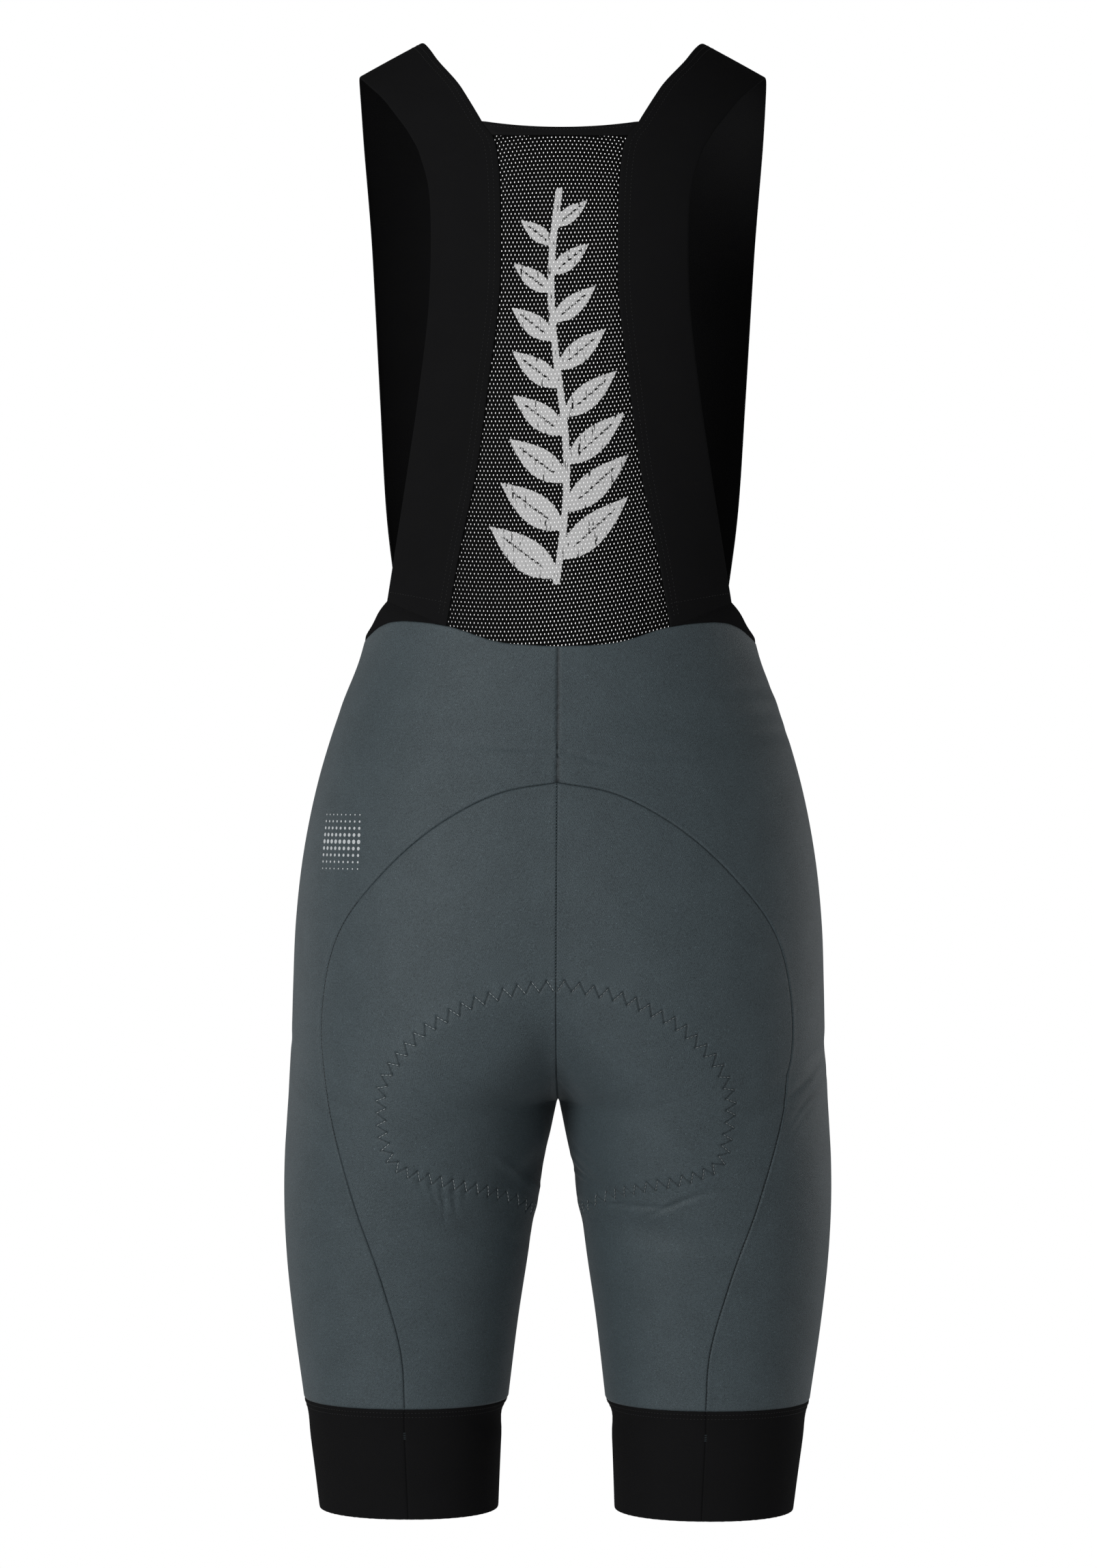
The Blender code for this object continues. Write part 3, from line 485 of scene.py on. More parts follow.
def through(knots, values, at):
    """A smooth curve through the values at rising knots, read at the places given."""
    knots = np.asarray(knots, float)
    values = np.asarray(values, float)
    at = np.clip(np.asarray(at, float), knots[0], knots[-1])
    steps = np.diff(knots)
    slopes = np.diff(values) / steps
    middle = (steps[1:] * slopes[:-1] + steps[:-1] * slopes[1:]) / (steps[1:] + steps[:-1])
    tangents = np.concatenate([slopes[:1], middle, slopes[-1:]])
    i = np.clip(np.searchsorted(knots, at, side="right") - 1, 0, len(steps) - 1)
    t = (at - knots[i]) / steps[i]
    start = values[i] * (1 + 2 * t) * (1 - t) ** 2 + tangents[i] * steps[i] * t * (1 - t) ** 2
    end = values[i + 1] * t * t * (3 - 2 * t) + tangents[i + 1] * steps[i] * t * t * (t - 1)
    return start + end


def signed_power(value, power):
    return np.sign(value) * np.abs(value) ** power


def level(rows, s):
    return through(column_of(rows, "s"), column_of(rows, "z"), s)


def bell(value, width, power=2):
    """1 at 0 and falling softly on both sides, by how many widths the value is away."""
    return np.exp(-((value / width) ** power))


def travelled(points):
    """Length along a run of points from its first one to each."""
    return np.concatenate([[0.0], np.cumsum(np.linalg.norm(np.diff(points, axis=0), axis=1))])


def pairs(first, second):
    return np.stack(np.broadcast_arrays(first, second), axis=-1)


# ---------------------------------------------------------------- the body form

def section(z):
    """Centre, outer and inner half-widths, middle depth and half-depth of the level section at z."""
    rising = BODY[::-1]
    heights, names = column_of(rising, "z"), ("centre", "outer", "inner", "back", "front")
    centre, outer, inner, back, front = (through(heights, column_of(rising, name), z) for name in names)
    return centre, outer - centre, centre - inner, (back + front) / 2, (back - front) / 2


def cut_angle(centre, half_out, half_in):
    """Angle from the outermost point at which a section is cut by the centre plane, pi in a leg."""
    half = np.where(centre > CENTRE_ROUND, half_in, half_out)
    cut = np.clip((CENTRE_ROUND - centre) / half, -1.0, 1.0)
    return np.arccos(signed_power(cut, SECTION_POWER / 2))


def angle_terms(z, cut):
    """The two parts of a section's angle: one for its even turn, and the rest for its ends."""
    rising = BODY[::-1]
    spread = np.radians(through(column_of(rising, "z"), column_of(rising, "spread"), z))
    return spread, cut - spread


def body_point(s, z):
    """Point on the left half of the lower form at (s, z)."""
    s, z = np.broadcast_arrays(np.asarray(s, float), np.asarray(z, float))
    centre, half_out, half_in, middle, half_depth = section(z)
    spread, rest = angle_terms(z, cut_angle(centre, half_out, half_in))
    turn = 1 - 2 * s
    angle = spread * turn + rest * turn * np.abs(turn) ** EDGE_HOLD
    across = signed_power(np.cos(angle), 2 / SECTION_POWER)
    reached = centre + np.where(across > 0, half_out, half_in) * across
    x = np.sqrt(np.maximum(reached**2 - CENTRE_ROUND**2, 0.0))
    y = middle + half_depth * signed_power(np.sin(angle), 2 / SECTION_POWER)
    return np.stack([x, y, z], axis=-1)


def s_of_x(x, z):
    """The place s on the back of the section at z whose distance from the centre plane is x."""
    centre, half_out, half_in, _, _ = section(np.asarray(z, float))
    reached = np.hypot(x, CENTRE_ROUND)
    across = np.where(reached > centre, (reached - centre) / half_out, (reached - centre) / half_in)
    angle = np.arccos(np.clip(signed_power(across, SECTION_POWER / 2), -1.0, 1.0))
    cut = cut_angle(centre, half_out, half_in)
    spread, rest = angle_terms(z, cut)
    turn = angle / cut
    for _ in range(NEWTON_STEPS):
        error = spread * turn + rest * turn * np.abs(turn) ** EDGE_HOLD - angle
        turn = turn - error / (spread + (EDGE_HOLD + 1) * rest * np.abs(turn) ** EDGE_HOLD)
    return (1 - turn) / 2


def section_depth(x, z):
    """How deep the section at z is at x: its middle, and the distance from it to the back or front."""
    centre, half_out, half_in, middle, half_depth = section(z)
    reached = np.hypot(x, CENTRE_ROUND)
    across = np.abs((reached - centre) / np.where(reached > centre, half_out, half_in))
    rest = np.clip(1 - across**SECTION_POWER, 0.0, None)
    return middle, half_depth * rest ** (1 / SECTION_POWER)


def shoulder_height(x):
    """Top of the dome at x, level near the neck and falling towards the arm."""
    return -SHOULDER_FALL * (np.hypot(x, NECK_FLAT) - math.hypot(SHOULDER_X, NECK_FLAT))


def strap_point(x, reach):
    """Point of the upper form at (x, reach)."""
    x, reach = np.broadcast_arrays(np.asarray(x, float), np.asarray(reach, float))
    facing = np.where(reach < 0, -1.0, 1.0)
    below = np.maximum(np.abs(reach) - QUARTER_REACH, 0.0)
    z_low = CHEST_Z - below
    middle, depth = section_depth(np.abs(x), z_low)
    turn = np.clip(1 - np.abs(reach) / QUARTER_REACH, 0.0, 1.0) * math.pi / 2
    y = (middle + facing * depth) * np.cos(turn)
    z = z_low + (shoulder_height(x) - CHEST_Z) * np.sin(turn)
    return np.stack([x, y, z], axis=-1)


def inside_measure(points):
    """A value that is 1 on the body form, less inside it and more outside it."""
    x, y, z = np.abs(points[..., 0]), points[..., 1], points[..., 2]
    centre, half_out, half_in, middle, half_depth = section(np.minimum(z, CHEST_Z))
    reached = np.hypot(x, CENTRE_ROUND)
    across = np.abs((reached - centre) / np.where(reached > centre, half_out, half_in))
    low = across**SECTION_POWER + np.abs((y - middle) / half_depth) ** SECTION_POWER
    chest_middle, chest_depth = section_depth(x, np.full_like(x, CHEST_Z))
    chest_depth = np.maximum(np.abs(chest_middle + np.sign(y) * chest_depth), 1.0)
    rise = np.maximum(z - CHEST_Z, 0.0) / (shoulder_height(x) - CHEST_Z)
    high = rise**2 + (y / chest_depth) ** 2
    return np.where(z > CHEST_Z, high, low)


def outward(points):
    """Unit normals of the body form."""
    slopes = []
    for axis in range(3):
        shift = np.zeros(3)
        shift[axis] = SLOPE_STEP
        slopes.append(inside_measure(points + shift) - inside_measure(points - shift))
    normals = np.stack(slopes, axis=-1)
    return normals / np.linalg.norm(normals, axis=-1, keepdims=True)


def fold_frame(fold, x, z):
    """Distances along and across a fold from its middle."""
    slope = math.radians(fold.slope)
    along = (x - fold.x) * math.cos(slope) + (z - fold.z) * math.sin(slope)
    across = (z - fold.z) * math.cos(slope) - (x - fold.x) * math.sin(slope)
    return along, across


def relief(points, side):
    """How far the cloth of the left (1) or right (-1) half stands out from the body form."""
    x, y, z = points[..., 0], points[..., 1], points[..., 2]
    behind = np.clip(0.5 + y / SIDE_FADE, 0.0, 1.0)
    away = ((x - LOBE_X) / LOBE_HALF_WIDTH) ** 2 + ((z - LOBE_Z) / LOBE_HALF_HEIGHT) ** 2
    rise = LOBE_RISE * behind * np.clip(1 - away, 0.0, 1.0) ** LOBE_FALL
    for fold in FOLDS:
        if fold.side == side:
            along, across = fold_frame(fold, x, z)
            trough = bell(across, fold.width / 2)
            rise = rise - fold.depth * behind * trough * bell(along, fold.length / 2, FOLD_END)
    return rise


# ---------------------------------------------------------------- the pieces' edges

def places(count, fine):
    """Places from 0 to count in steps of 1 / fine, with closer ones beside both ends."""
    even = np.linspace(0.0, count, count * fine + 1)
    close = np.array(RIM_STEPS) / fine
    return np.sort(np.concatenate([even, close, count - close]))


def waist_s(at):
    """Place round the waist after so many of its steps from the centre back."""
    net = BACK_STRAP_S * at / NET_COLUMNS
    bib = BACK_STRAP_S + (FRONT_STRAP_S - BACK_STRAP_S) * (at - NET_COLUMNS) / BIB_WAIST_COLUMNS
    left = np.clip((WAIST_COLUMNS - at) / FRONT_EDGE_COLUMNS, 0.0, 1.0)
    front = 1.0 - (1.0 - FRONT_STRAP_S) * left**CENTRE_CROWDING
    return np.select([at <= NET_COLUMNS, at <= NET_COLUMNS + BIB_WAIST_COLUMNS], [net, bib], front)


def waist_place(s):
    return pairs(s, level(WAIST_SEAM, s))


def arch_place(at):
    """(s, z) on the arched seam after so many of its steps."""
    xz = np.array(ARCH_SEAM, float)
    run = travelled(xz)
    reached = run[-1] * (at / ARCH_STEPS) ** ARCH_CROWDING
    x, z = (through(run, values, reached) for values in xz.T)
    return pairs(s_of_x(x, z), z)


def centre_place(s, z_from, z_to, share):
    """(s, z) at shares of the way along the centre plane, by length."""
    eased = 1 - (1 - np.linspace(0.0, 1.0, DENSE_STEPS)) ** 2
    z = z_from + (z_to - z_from) * eased
    run = travelled(body_point(s, z))
    return pairs(s, np.interp(np.clip(share, 0.0, 1.0) * run[-1], run, z))


def inseam_place(s, share):
    """(s, z) down the inside of the leg, where s is 0 on its back half and 1 on its front half."""
    return pairs(s, CROTCH_Z + (HEM_Z - CROTCH_Z) * np.clip(share, 0.0, 1.0))


def patch(top, bottom, left, right, v):
    """Grid of plane coordinates filled in between four edges. Rows run from top to bottom."""
    u = np.zeros(len(top))
    u[1:] = np.cumsum(np.linalg.norm(np.diff(top, axis=0) * TOP_EDGE_WEIGHTS, axis=1))
    u = (u / u[-1])[None, :, None]
    v = v[:, None, None]
    across = (1 - u) * left[:, None, :] + u * right[:, None, :]
    down = (1 - v) * top[None, :, :] + v * bottom[None, :, :]
    corners = (
        (1 - u) * (1 - v) * top[0] + u * (1 - v) * top[-1] + (1 - u) * v * bottom[0] + u * v * bottom[-1]
    )
    return across + down - corners


def outer_panel_grid():
    """(s, z) of the outer panel's points: upper back, hip, side and front of one half."""
    row_count = CENTRE_BACK_ROWS + ARCH_STEPS
    front_rows = row_count - INSEAM_ROWS
    rows = places(row_count, OUTER_FINENESS)
    s = waist_s(places(WAIST_COLUMNS, OUTER_FINENESS))
    top = waist_place(s)
    back = centre_place(0.0, top[0, 1], ARCH_SEAM[0].z, rows / CENTRE_BACK_ROWS)
    arch = arch_place(np.maximum(rows - CENTRE_BACK_ROWS, 0.0))
    left = np.where((rows < CENTRE_BACK_ROWS)[:, None], back, arch)
    front = centre_place(1.0, top[-1, 1], CROTCH_Z, rows / front_rows)
    leg = inseam_place(1.0, (rows - front_rows) / INSEAM_ROWS)
    right = np.where((rows < front_rows)[:, None], front, leg)
    bottom = pairs(arch[-1, 0] + (1 - arch[-1, 0]) * s, HEM_Z)
    return patch(top, bottom, left, right, rows / row_count)


def seat_panel_grid():
    """(s, z) of the seat panel's points: all inside the arched seam."""
    row_count = ARCH_STEPS - SEAT_COLUMNS
    rows_above = row_count - INSEAM_ROWS
    rows = places(row_count, SEAT_FINENESS)
    top = arch_place(places(SEAT_COLUMNS, SEAT_FINENESS))
    right = arch_place(SEAT_COLUMNS + rows)
    back = centre_place(0.0, top[0, 1], CROTCH_Z, rows / rows_above)
    leg = inseam_place(0.0, (rows - rows_above) / INSEAM_ROWS)
    left = np.where((rows < rows_above)[:, None], back, leg)
    bottom = pairs(top[:, 0] / top[-1, 0] * right[-1, 0], HEM_Z)
    return patch(top, bottom, left, right, rows / row_count)


def strap_rows():
    """The strap's table with its two waist ends, as neck_reach, neck_x, arm_reach and arm_x."""
    ends = []
    for waist, arm, facing in (
        (BACK_STRAP_S, UNDERARM_EDGE[0].s, 1),
        (FRONT_STRAP_S, UNDERARM_EDGE[-1].s, -1),
    ):
        neck_point = body_point(waist, level(WAIST_SEAM, waist))
        arm_point = body_point(arm, level(UNDERARM_EDGE, arm))
        row = []
        for point in (neck_point, arm_point):
            row += [facing * (QUARTER_REACH + CHEST_Z - point[2]), point[0]]
        ends.append(row)
    return np.array([ends[0], *STRAP, ends[1]], float)


def strap_edges(at):
    """Neck and arm edges of the strap as (x, reach) at places in its table."""
    rows = strap_rows()
    neck_reach, neck_x, arm_reach, arm_x = (through(np.arange(len(rows)), values, at) for values in rows.T)
    return pairs(neck_x, neck_reach), pairs(arm_x, arm_reach)


# ---------------------------------------------------------------- folds and sewn lines

def fold_rise(points, side):
    """Rise of the smaller folds of one half, troughs below and ridges above the cloth."""
    x, y, z = points[:, 0], points[:, 1], points[:, 2]
    rise = np.zeros(len(points))
    for fold in CREASES:
        if fold.side not in (side, 0):
            continue
        faces_it = np.clip(0.5 + fold.facing * y / CREASE_FADE, 0.0, 1.0)
        along, across = fold_frame(fold, x, z)
        across = across - fold.bend * (along / (fold.length / 2)) ** 2
        width = fold.width * (1 + CREASE_FLARE * along / fold.length)
        shape = bell(across, width / 2) - CREASE_BANK * bell(across, width)
        rise += fold.rise * faces_it * shape * bell(along, fold.length / 2)
    return rise


class Line:
    """A dense run of points on the cloth that can be asked for the nearest of them."""

    def __init__(self, points):
        self.points = np.asarray(points, float)
        self.tree = KDTree(len(self.points))
        for index, point in enumerate(self.points):
            self.tree.insert(point, index)
        self.tree.balance()

    def nearest(self, points):
        """Distance and index of the nearest point of the line to each point."""
        found = [self.tree.find(point) for point in points]
        return np.array([hit[2] for hit in found]), np.array([hit[1] for hit in found])


def evened(points, step):
    """The run of points again, a step apart by length."""
    run = travelled(points)
    at = np.linspace(0.0, run[-1], max(2, int(round(run[-1] / step)) + 1))
    return np.stack([np.interp(at, run, values) for values in points.T], axis=-1)


def seam_line(plane):
    """A line of cloth points along (s, z) places."""
    return Line(evened(body_point(plane[:, 0], plane[:, 1]), LINE_STEP))


def lines_of_shorts():
    """Every seam of one half of the shorts, by its name."""
    shares = np.linspace(0.0, 1.0, DENSE_STEPS)
    waist = waist_place(waist_s(shares * WAIST_COLUMNS))
    return {
        "waist": seam_line(waist),
        "arch": seam_line(arch_place(shares * ARCH_STEPS)),
        "centre": seam_line(centre_place(0.0, waist[0, 1], CROTCH_Z, shares)),
        "front": seam_line(centre_place(1.0, waist[-1, 1], CROTCH_Z, shares)),
        "inseam": seam_line(inseam_place(0.0, shares)),
        "hem": seam_line(pairs(shares, HEM_Z)),
    }


def pad_line():
    """The pad's sewn outline on one half, as evenly spaced cloth points."""
    rows = np.array(PAD_SEWING, float)
    dense = np.linspace(0.0, len(rows) - 1, DENSE_STEPS * 2)
    s, z = (through(np.arange(len(rows)), values, dense) for values in rows.T)
    return evened(body_point(s, z), LINE_STEP)


def pad_zigzag(side):
    """Corners of the zigzag along the pad's outline, which step in and out in turn."""
    points = pad_line()
    normals = outward(points)
    tangents = np.gradient(points, axis=0)
    tangents /= np.linalg.norm(tangents, axis=1, keepdims=True)
    across = np.cross(normals, tangents)
    pitches = through(column_of(ZIGZAG_PITCHES, "z"), column_of(ZIGZAG_PITCHES, "pitch"), points[:, 2])
    pitches = pitches / np.clip(np.linalg.norm(tangents[:, [0, 2]], axis=1), LEAST_APPARENT, 1.0)
    corners = []
    place, turn, count = ZIGZAG_START, 1.0, 0
    while place < (len(points) - 1) * LINE_STEP:
        index = int(place / LINE_STEP)
        wander = 1 + ZIGZAG_WANDER * math.sin(WANDER_TURN * count + side)
        corners.append(points[index] + across[index] * turn * size("zigzag_height") / 2 * wander)
        place += pitches[index] * (0.5 + ZIGZAG_SLANT * turn)
        turn = -turn
        count += 1
    return np.array(corners)


def pad_swell(points):
    """The pad's swelling inside its sewn outline and the puffed cloth along it."""
    outline = Line(pad_line())
    spread, index = outline.nearest(points)
    tangents = np.gradient(outline.points, axis=0)
    inner = np.cross(outward(outline.points), tangents)
    inner /= np.linalg.norm(inner, axis=1, keepdims=True)
    inside = np.sum((points - outline.points[index]) * inner[index], axis=1)
    step = PAD_STEP * (0.5 + 0.5 * np.tanh(inside / PAD_STEP_WIDTH))
    step = step * bell(np.maximum(inside, 0.0), PAD_STEP_REACH)
    return step + PUFF_RISE * bell(spread, PUFF_WIDTH)


def zigzag_cut(points, side):
    """Depth of the furrow that the zigzag's stitches pull into the cloth, and the shade painted into it."""
    corners = pad_zigzag(side)
    legs = [evened(corners[k : k + 2], LINE_STEP) for k in range(len(corners) - 1)]
    strength = np.concatenate([np.full(len(leg), LEG_FURROW_SHADE[side][k % 2]) for k, leg in enumerate(legs)])
    furrow, index = Line(np.concatenate(legs)).nearest(points)
    dimple, _ = Line(corners).nearest(points)
    cut = FURROW_DEPTH * bell(furrow, FURROW_WIDTH) + DIMPLE_DEPTH * bell(dimple, DIMPLE_WIDTH)
    return cut, strength[index] * bell(furrow, FURROW_SHADE_WIDTH)


def narrow_folds(side):
    """The middle lines of one half's narrow folds, as one line of cloth points."""
    runs = []
    for fold in CREASES:
        if fold.side not in (side, 0) or fold.width > CREASE_NARROW:
            continue
        along = np.linspace(-fold.length / 2, fold.length / 2, 2 * int(fold.length))
        across = fold.bend * (along / (fold.length / 2)) ** 2
        slope = math.radians(fold.slope)
        x = np.abs(fold.x + along * math.cos(slope) - across * math.sin(slope))
        z = fold.z + along * math.sin(slope) + across * math.cos(slope)
        s = s_of_x(x, z)
        runs.append(body_point(s if fold.facing > 0 else 1 - s, z))
    return Line(np.concatenate(runs))


# ---------------------------------------------------------------- the cloth's surface

def seam_effects(points, side, lines, profiles):
    """Rise beside the seams and the shade painted into their grooves, from the profile of the nearest one.
    """
    rise = np.zeros(len(points))
    shade = np.zeros(len(points))
    for name, profile in profiles.items():
        distance, _ = lines[name].nearest(points)
        near = read(profile, distance, "distance", "rise")
        rise = np.where(np.abs(near) > np.abs(rise), near, rise)
        dark = read(profile, distance, "distance", "shade")
        if name == "arch":
            dark = dark * read(ARCH_GROOVE_SHADE, points[:, 2], "z", "left" if side > 0 else "right")
        shade = np.maximum(shade, dark)
    return rise, shade


def shorts_surface(plane, side, lines, profiles, with_pad):
    """Outer points, normals and painted groove shade of the shorts at (s, z) places."""
    base = body_point(plane[:, 0], plane[:, 1])
    normals = outward(base)
    beside, shade = seam_effects(base, side, lines, profiles)
    rise = relief(base, side) + fold_rise(base, side) + beside
    if with_pad:
        cut, dark = zigzag_cut(base, side)
        rise = rise + pad_swell(base) - cut
        shade = np.maximum(shade, dark)
    return base + normals * rise[:, None], normals, shade


def weave_coordinates(plane):
    """Distances in millimetres round and down the cloth, which the knit follows."""
    rows = np.linspace(HEM_Z - WEAVE_BELOW, CHEST_Z, WEAVE_ROWS)
    shares = np.linspace(0.0, 1.0, WEAVE_COLUMNS)
    z, s = np.meshgrid(np.clip(rows, HEM_Z, CHEST_Z), shares, indexing="ij")
    steps = np.linalg.norm(np.diff(body_point(s, z), axis=1), axis=2)
    lengths = np.concatenate([np.zeros((WEAVE_ROWS, 1)), np.cumsum(steps, axis=1)], axis=1)
    row = np.interp(plane[:, 1], rows, np.arange(WEAVE_ROWS))
    low = np.minimum(row.astype(int), WEAVE_ROWS - 2)
    column = plane[:, 0] * (WEAVE_COLUMNS - 1)
    left = np.clip(column.astype(int), 0, WEAVE_COLUMNS - 2)
    down, along = row - low, column - left
    upper = lengths[low, left] * (1 - along) + lengths[low, left + 1] * along
    lower = lengths[low + 1, left] * (1 - along) + lengths[low + 1, left + 1] * along
    return np.stack([upper * (1 - down) + lower * down, plane[:, 1]], axis=-1)


# ---------------------------------------------------------------- meshes

def grid_faces(rows, columns, wraps_rows=False, wraps_columns=False):
    """Quads of a grid of points, as an array of corner indices."""
    i = np.arange(rows if wraps_rows else rows - 1)
    j = np.arange(columns if wraps_columns else columns - 1)
    i, j = [part.ravel() for part in np.meshgrid(i, j, indexing="ij")]
    below, beside = (i + 1) % rows, (j + 1) % columns
    corners = ((i, j), (i, beside), (below, beside), (below, j))
    return np.stack([row * columns + column for row, column in corners], axis=-1)


def edge_loops(faces):
    """Open edges of the faces, chained into loops that run with their faces."""
    following = {}
    edges = {(a, b) for face in faces for a, b in zip(face, (*face[1:], face[0]))}
    for a, b in edges:
        if (b, a) not in edges:
            following[a] = b
    loops = []
    while following:
        loop = [next(iter(following))]
        while loop[-1] in following:
            loop.append(following.pop(loop[-1]))
        loops.append(loop[:-1])
    return loops


def cloth_shell(name, points, normals, faces, wall, weave, side=1, marks=None):
    """A closed wall of cloth from its outer face, whose corners run anticlockwise seen from outside."""
    faces = [tuple(int(i) for i in face) for face in faces]
    count = len(points)
    walls = [tuple(i + count for i in face[::-1]) for face in faces]
    for loop in edge_loops(faces):
        walls += [(b, a, a + count, b + count) for a, b in zip(loop, loop[1:] + loop[:1])]
    solid = np.concatenate([points, points - wall * normals])
    twice = {layer: np.tile(values, 2) for layer, values in (marks or {}).items()}
    return mesh_piece(name, solid, faces + walls, np.tile(weave, (2, 1)), side, marks=twice)


def mesh_piece(name, points, faces, weave=None, side=1, sharp=True, marks=None):
    """Object from points in millimetres, mirrored for the right side, with its weave places and marks."""
    if side < 0:
        points = points * (-1.0, 1.0, 1.0)
        faces = [tuple(face[::-1]) for face in faces]
    mesh = bpy.data.meshes.new(name)
    mesh.from_pydata((points * MM).tolist(), [], [tuple(face) for face in faces])
    if weave is not None:
        corners = np.empty(len(mesh.loops), int)
        mesh.loops.foreach_get("vertex_index", corners)
        layer = mesh.uv_layers.new(name=WEAVE_LAYER)
        layer.data.foreach_set("uv", np.asarray(weave, float)[corners].ravel())
    for layer, values in (marks or {}).items():
        mesh.attributes.new(layer, "FLOAT", "POINT").data.foreach_set("value", np.asarray(values, float))
    mesh.shade_smooth()
    if sharp:
        mesh.set_sharp_from_angle(angle=math.radians(SHARP_ANGLE))
    mesh.update()
    piece = bpy.data.objects.new(name, mesh)
    bpy.context.scene.collection.objects.link(piece)
    return piece


def finish_piece(piece, material, nodes=()):
    """Gives a piece its material and its place on the model."""
    piece.data.materials.append(material)
    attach(piece, "root")
    if nodes:
        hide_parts(*nodes)


def side_name(stem, side):
    return stem + ("_left" if side > 0 else "_right")


def refined(plane, faces, wanted):
    """The flat faces again, parted so that no edge near each wanted line is longer than its limit."""
    bm = bmesh.new()
    corners = [bm.verts.new((s * PLANE_SPAN, z, 0.0)) for s, z in plane]
    for face in faces:
        bm.faces.new([corners[i] for i in face])
    for line, reach, longest in wanted:
        for _ in range(REFINE_ROUNDS):
            edges = list(bm.edges)
            ends = np.array([[tuple(v.co) for v in edge.verts] for edge in edges])
            spots = body_point(np.clip(ends[..., 0] / PLANE_SPAN, 0.0, 1.0), ends[..., 1])
            lengths = np.linalg.norm(spots[:, 1] - spots[:, 0], axis=1)
            long = np.flatnonzero(lengths > longest)
            distance, _ = line.nearest(spots[long].mean(axis=1))
            chosen = [edges[i] for i, away in zip(long, distance) if away < reach + lengths[i] / 2]
            if not chosen:
                break
            bmesh.ops.subdivide_edges(bm, edges=chosen, cuts=1, use_grid_fill=True)
    bm.verts.index_update()
    finer = np.array([(v.co.x / PLANE_SPAN, v.co.y) for v in bm.verts])
    parted = [tuple(v.index for v in face.verts) for face in bm.faces]
    bm.free()
    finer[:, 0] = np.clip(finer[:, 0], 0.0, 1.0)
    return finer, parted


# ---------------------------------------------------------------- thread

def stitches(name, starts, ends, normals, radius, side=1):
    """Short thread stitches, one from each start to its end, that dive into the cloth at both ends."""
    share, thickness, lift = (np.array(column) for column in zip(*STITCH))
    along = (ends - starts)[:, None]
    middle = starts[:, None] + along * share[None, :, None]
    middle = middle + normals[:, None] * (lift * radius)[None, :, None]
    across = np.cross(normals, ends - starts)
    across /= np.linalg.norm(across, axis=1, keepdims=True)
    turn = np.linspace(0.0, 2 * math.pi, STITCH_SIDES, endpoint=False)
    ring = across[:, None] * np.cos(turn)[None, :, None] + normals[:, None] * np.sin(turn)[None, :, None]
    points = middle[:, :, None] + ring[:, None] * (thickness * radius)[None, :, None, None]
    each = len(STITCH) * STITCH_SIDES
    tube = grid_faces(len(STITCH), STITCH_SIDES, wraps_columns=True)[:, ::-1]
    first = np.arange(STITCH_SIDES)
    last = first[::-1] + each - STITCH_SIDES
    faces = []
    for index in range(len(starts)):
        faces += (tube + index * each).tolist()
        faces += [(first + index * each).tolist(), (last + index * each).tolist()]
    weave = np.tile(points.reshape(-1, 3)[:, :1], (1, 2))
    return mesh_piece(name, points.reshape(-1, 3), faces, weave, side, sharp=False)


def stitch_run(points, normals, pitch, share):
    """Starts, ends and normals of the stitches of one straight row along a run of points."""
    even = evened(np.concatenate([points, normals], axis=1), pitch)
    starts, ahead = even[:-1, :3], even[1:, :3]
    facing = even[:-1, 3:] / np.linalg.norm(even[:-1, 3:], axis=1, keepdims=True)
    return starts, starts + (ahead - starts) * share, facing


def joined(runs):
    """Several rows of stitches as one."""
    return [np.concatenate(parts) for parts in zip(*runs)]


# ---------------------------------------------------------------- the pieces

OUTER_PROFILES = {"waist": SOFT_SEAM, "arch": RIDGE_SEAM, "centre": PLAIN_SEAM, "front": PLAIN_SEAM}
OUTER_PROFILES.update({"inseam": PLAIN_SEAM, "hem": SOFT_SEAM})
SEAT_PROFILES = {"arch": PLAIN_SEAM, "centre": PLAIN_SEAM, "inseam": PLAIN_SEAM, "hem": SOFT_SEAM}


def make_panel(side, lines, stem, node, grid, wanted, profiles, with_pad, cloth):
    """One slate panel of one half, parted finer near the lines wanted."""
    plane, faces = refined(grid.reshape(-1, 2), grid_faces(*grid.shape[:2]).tolist(), wanted)
    points, normals, shade = shorts_surface(plane, side, lines, profiles, with_pad)
    name, weave, marks = side_name(stem, side), weave_coordinates(plane), {GROOVE_SHADE_LAYER: shade}
    piece = cloth_shell(name, points, normals, faces, size("knit_wall"), weave, side, marks)
    finish_piece(piece, cloth, (side_name(node, side),))


def make_outer_panel(side, lines):
    folds = (narrow_folds(side), CREASE_REACH, CREASE_EDGE)
    cloth = slate_knit(0.0, HIP_DOTS if side > 0 else None)
    make_panel(
        side, lines, "knit_outer", "outer_panel", outer_panel_grid(), [folds], OUTER_PROFILES, False, cloth,
    )


def make_seat_panel(side, lines):
    wanted = [
        (Line(pad_line()), OUTLINE_REACH, OUTLINE_EDGE),
        (narrow_folds(side), CREASE_REACH, CREASE_EDGE),
        (Line(evened(pad_zigzag(side), LINE_STEP)), ZIGZAG_REACH, ZIGZAG_EDGE),
    ]
    cloth = slate_knit(SEAT_GRAIN_TURN)
    make_panel(
        side, lines, "knit_seat", "seat_panel", seat_panel_grid(), wanted, SEAT_PROFILES, True, cloth,
    )


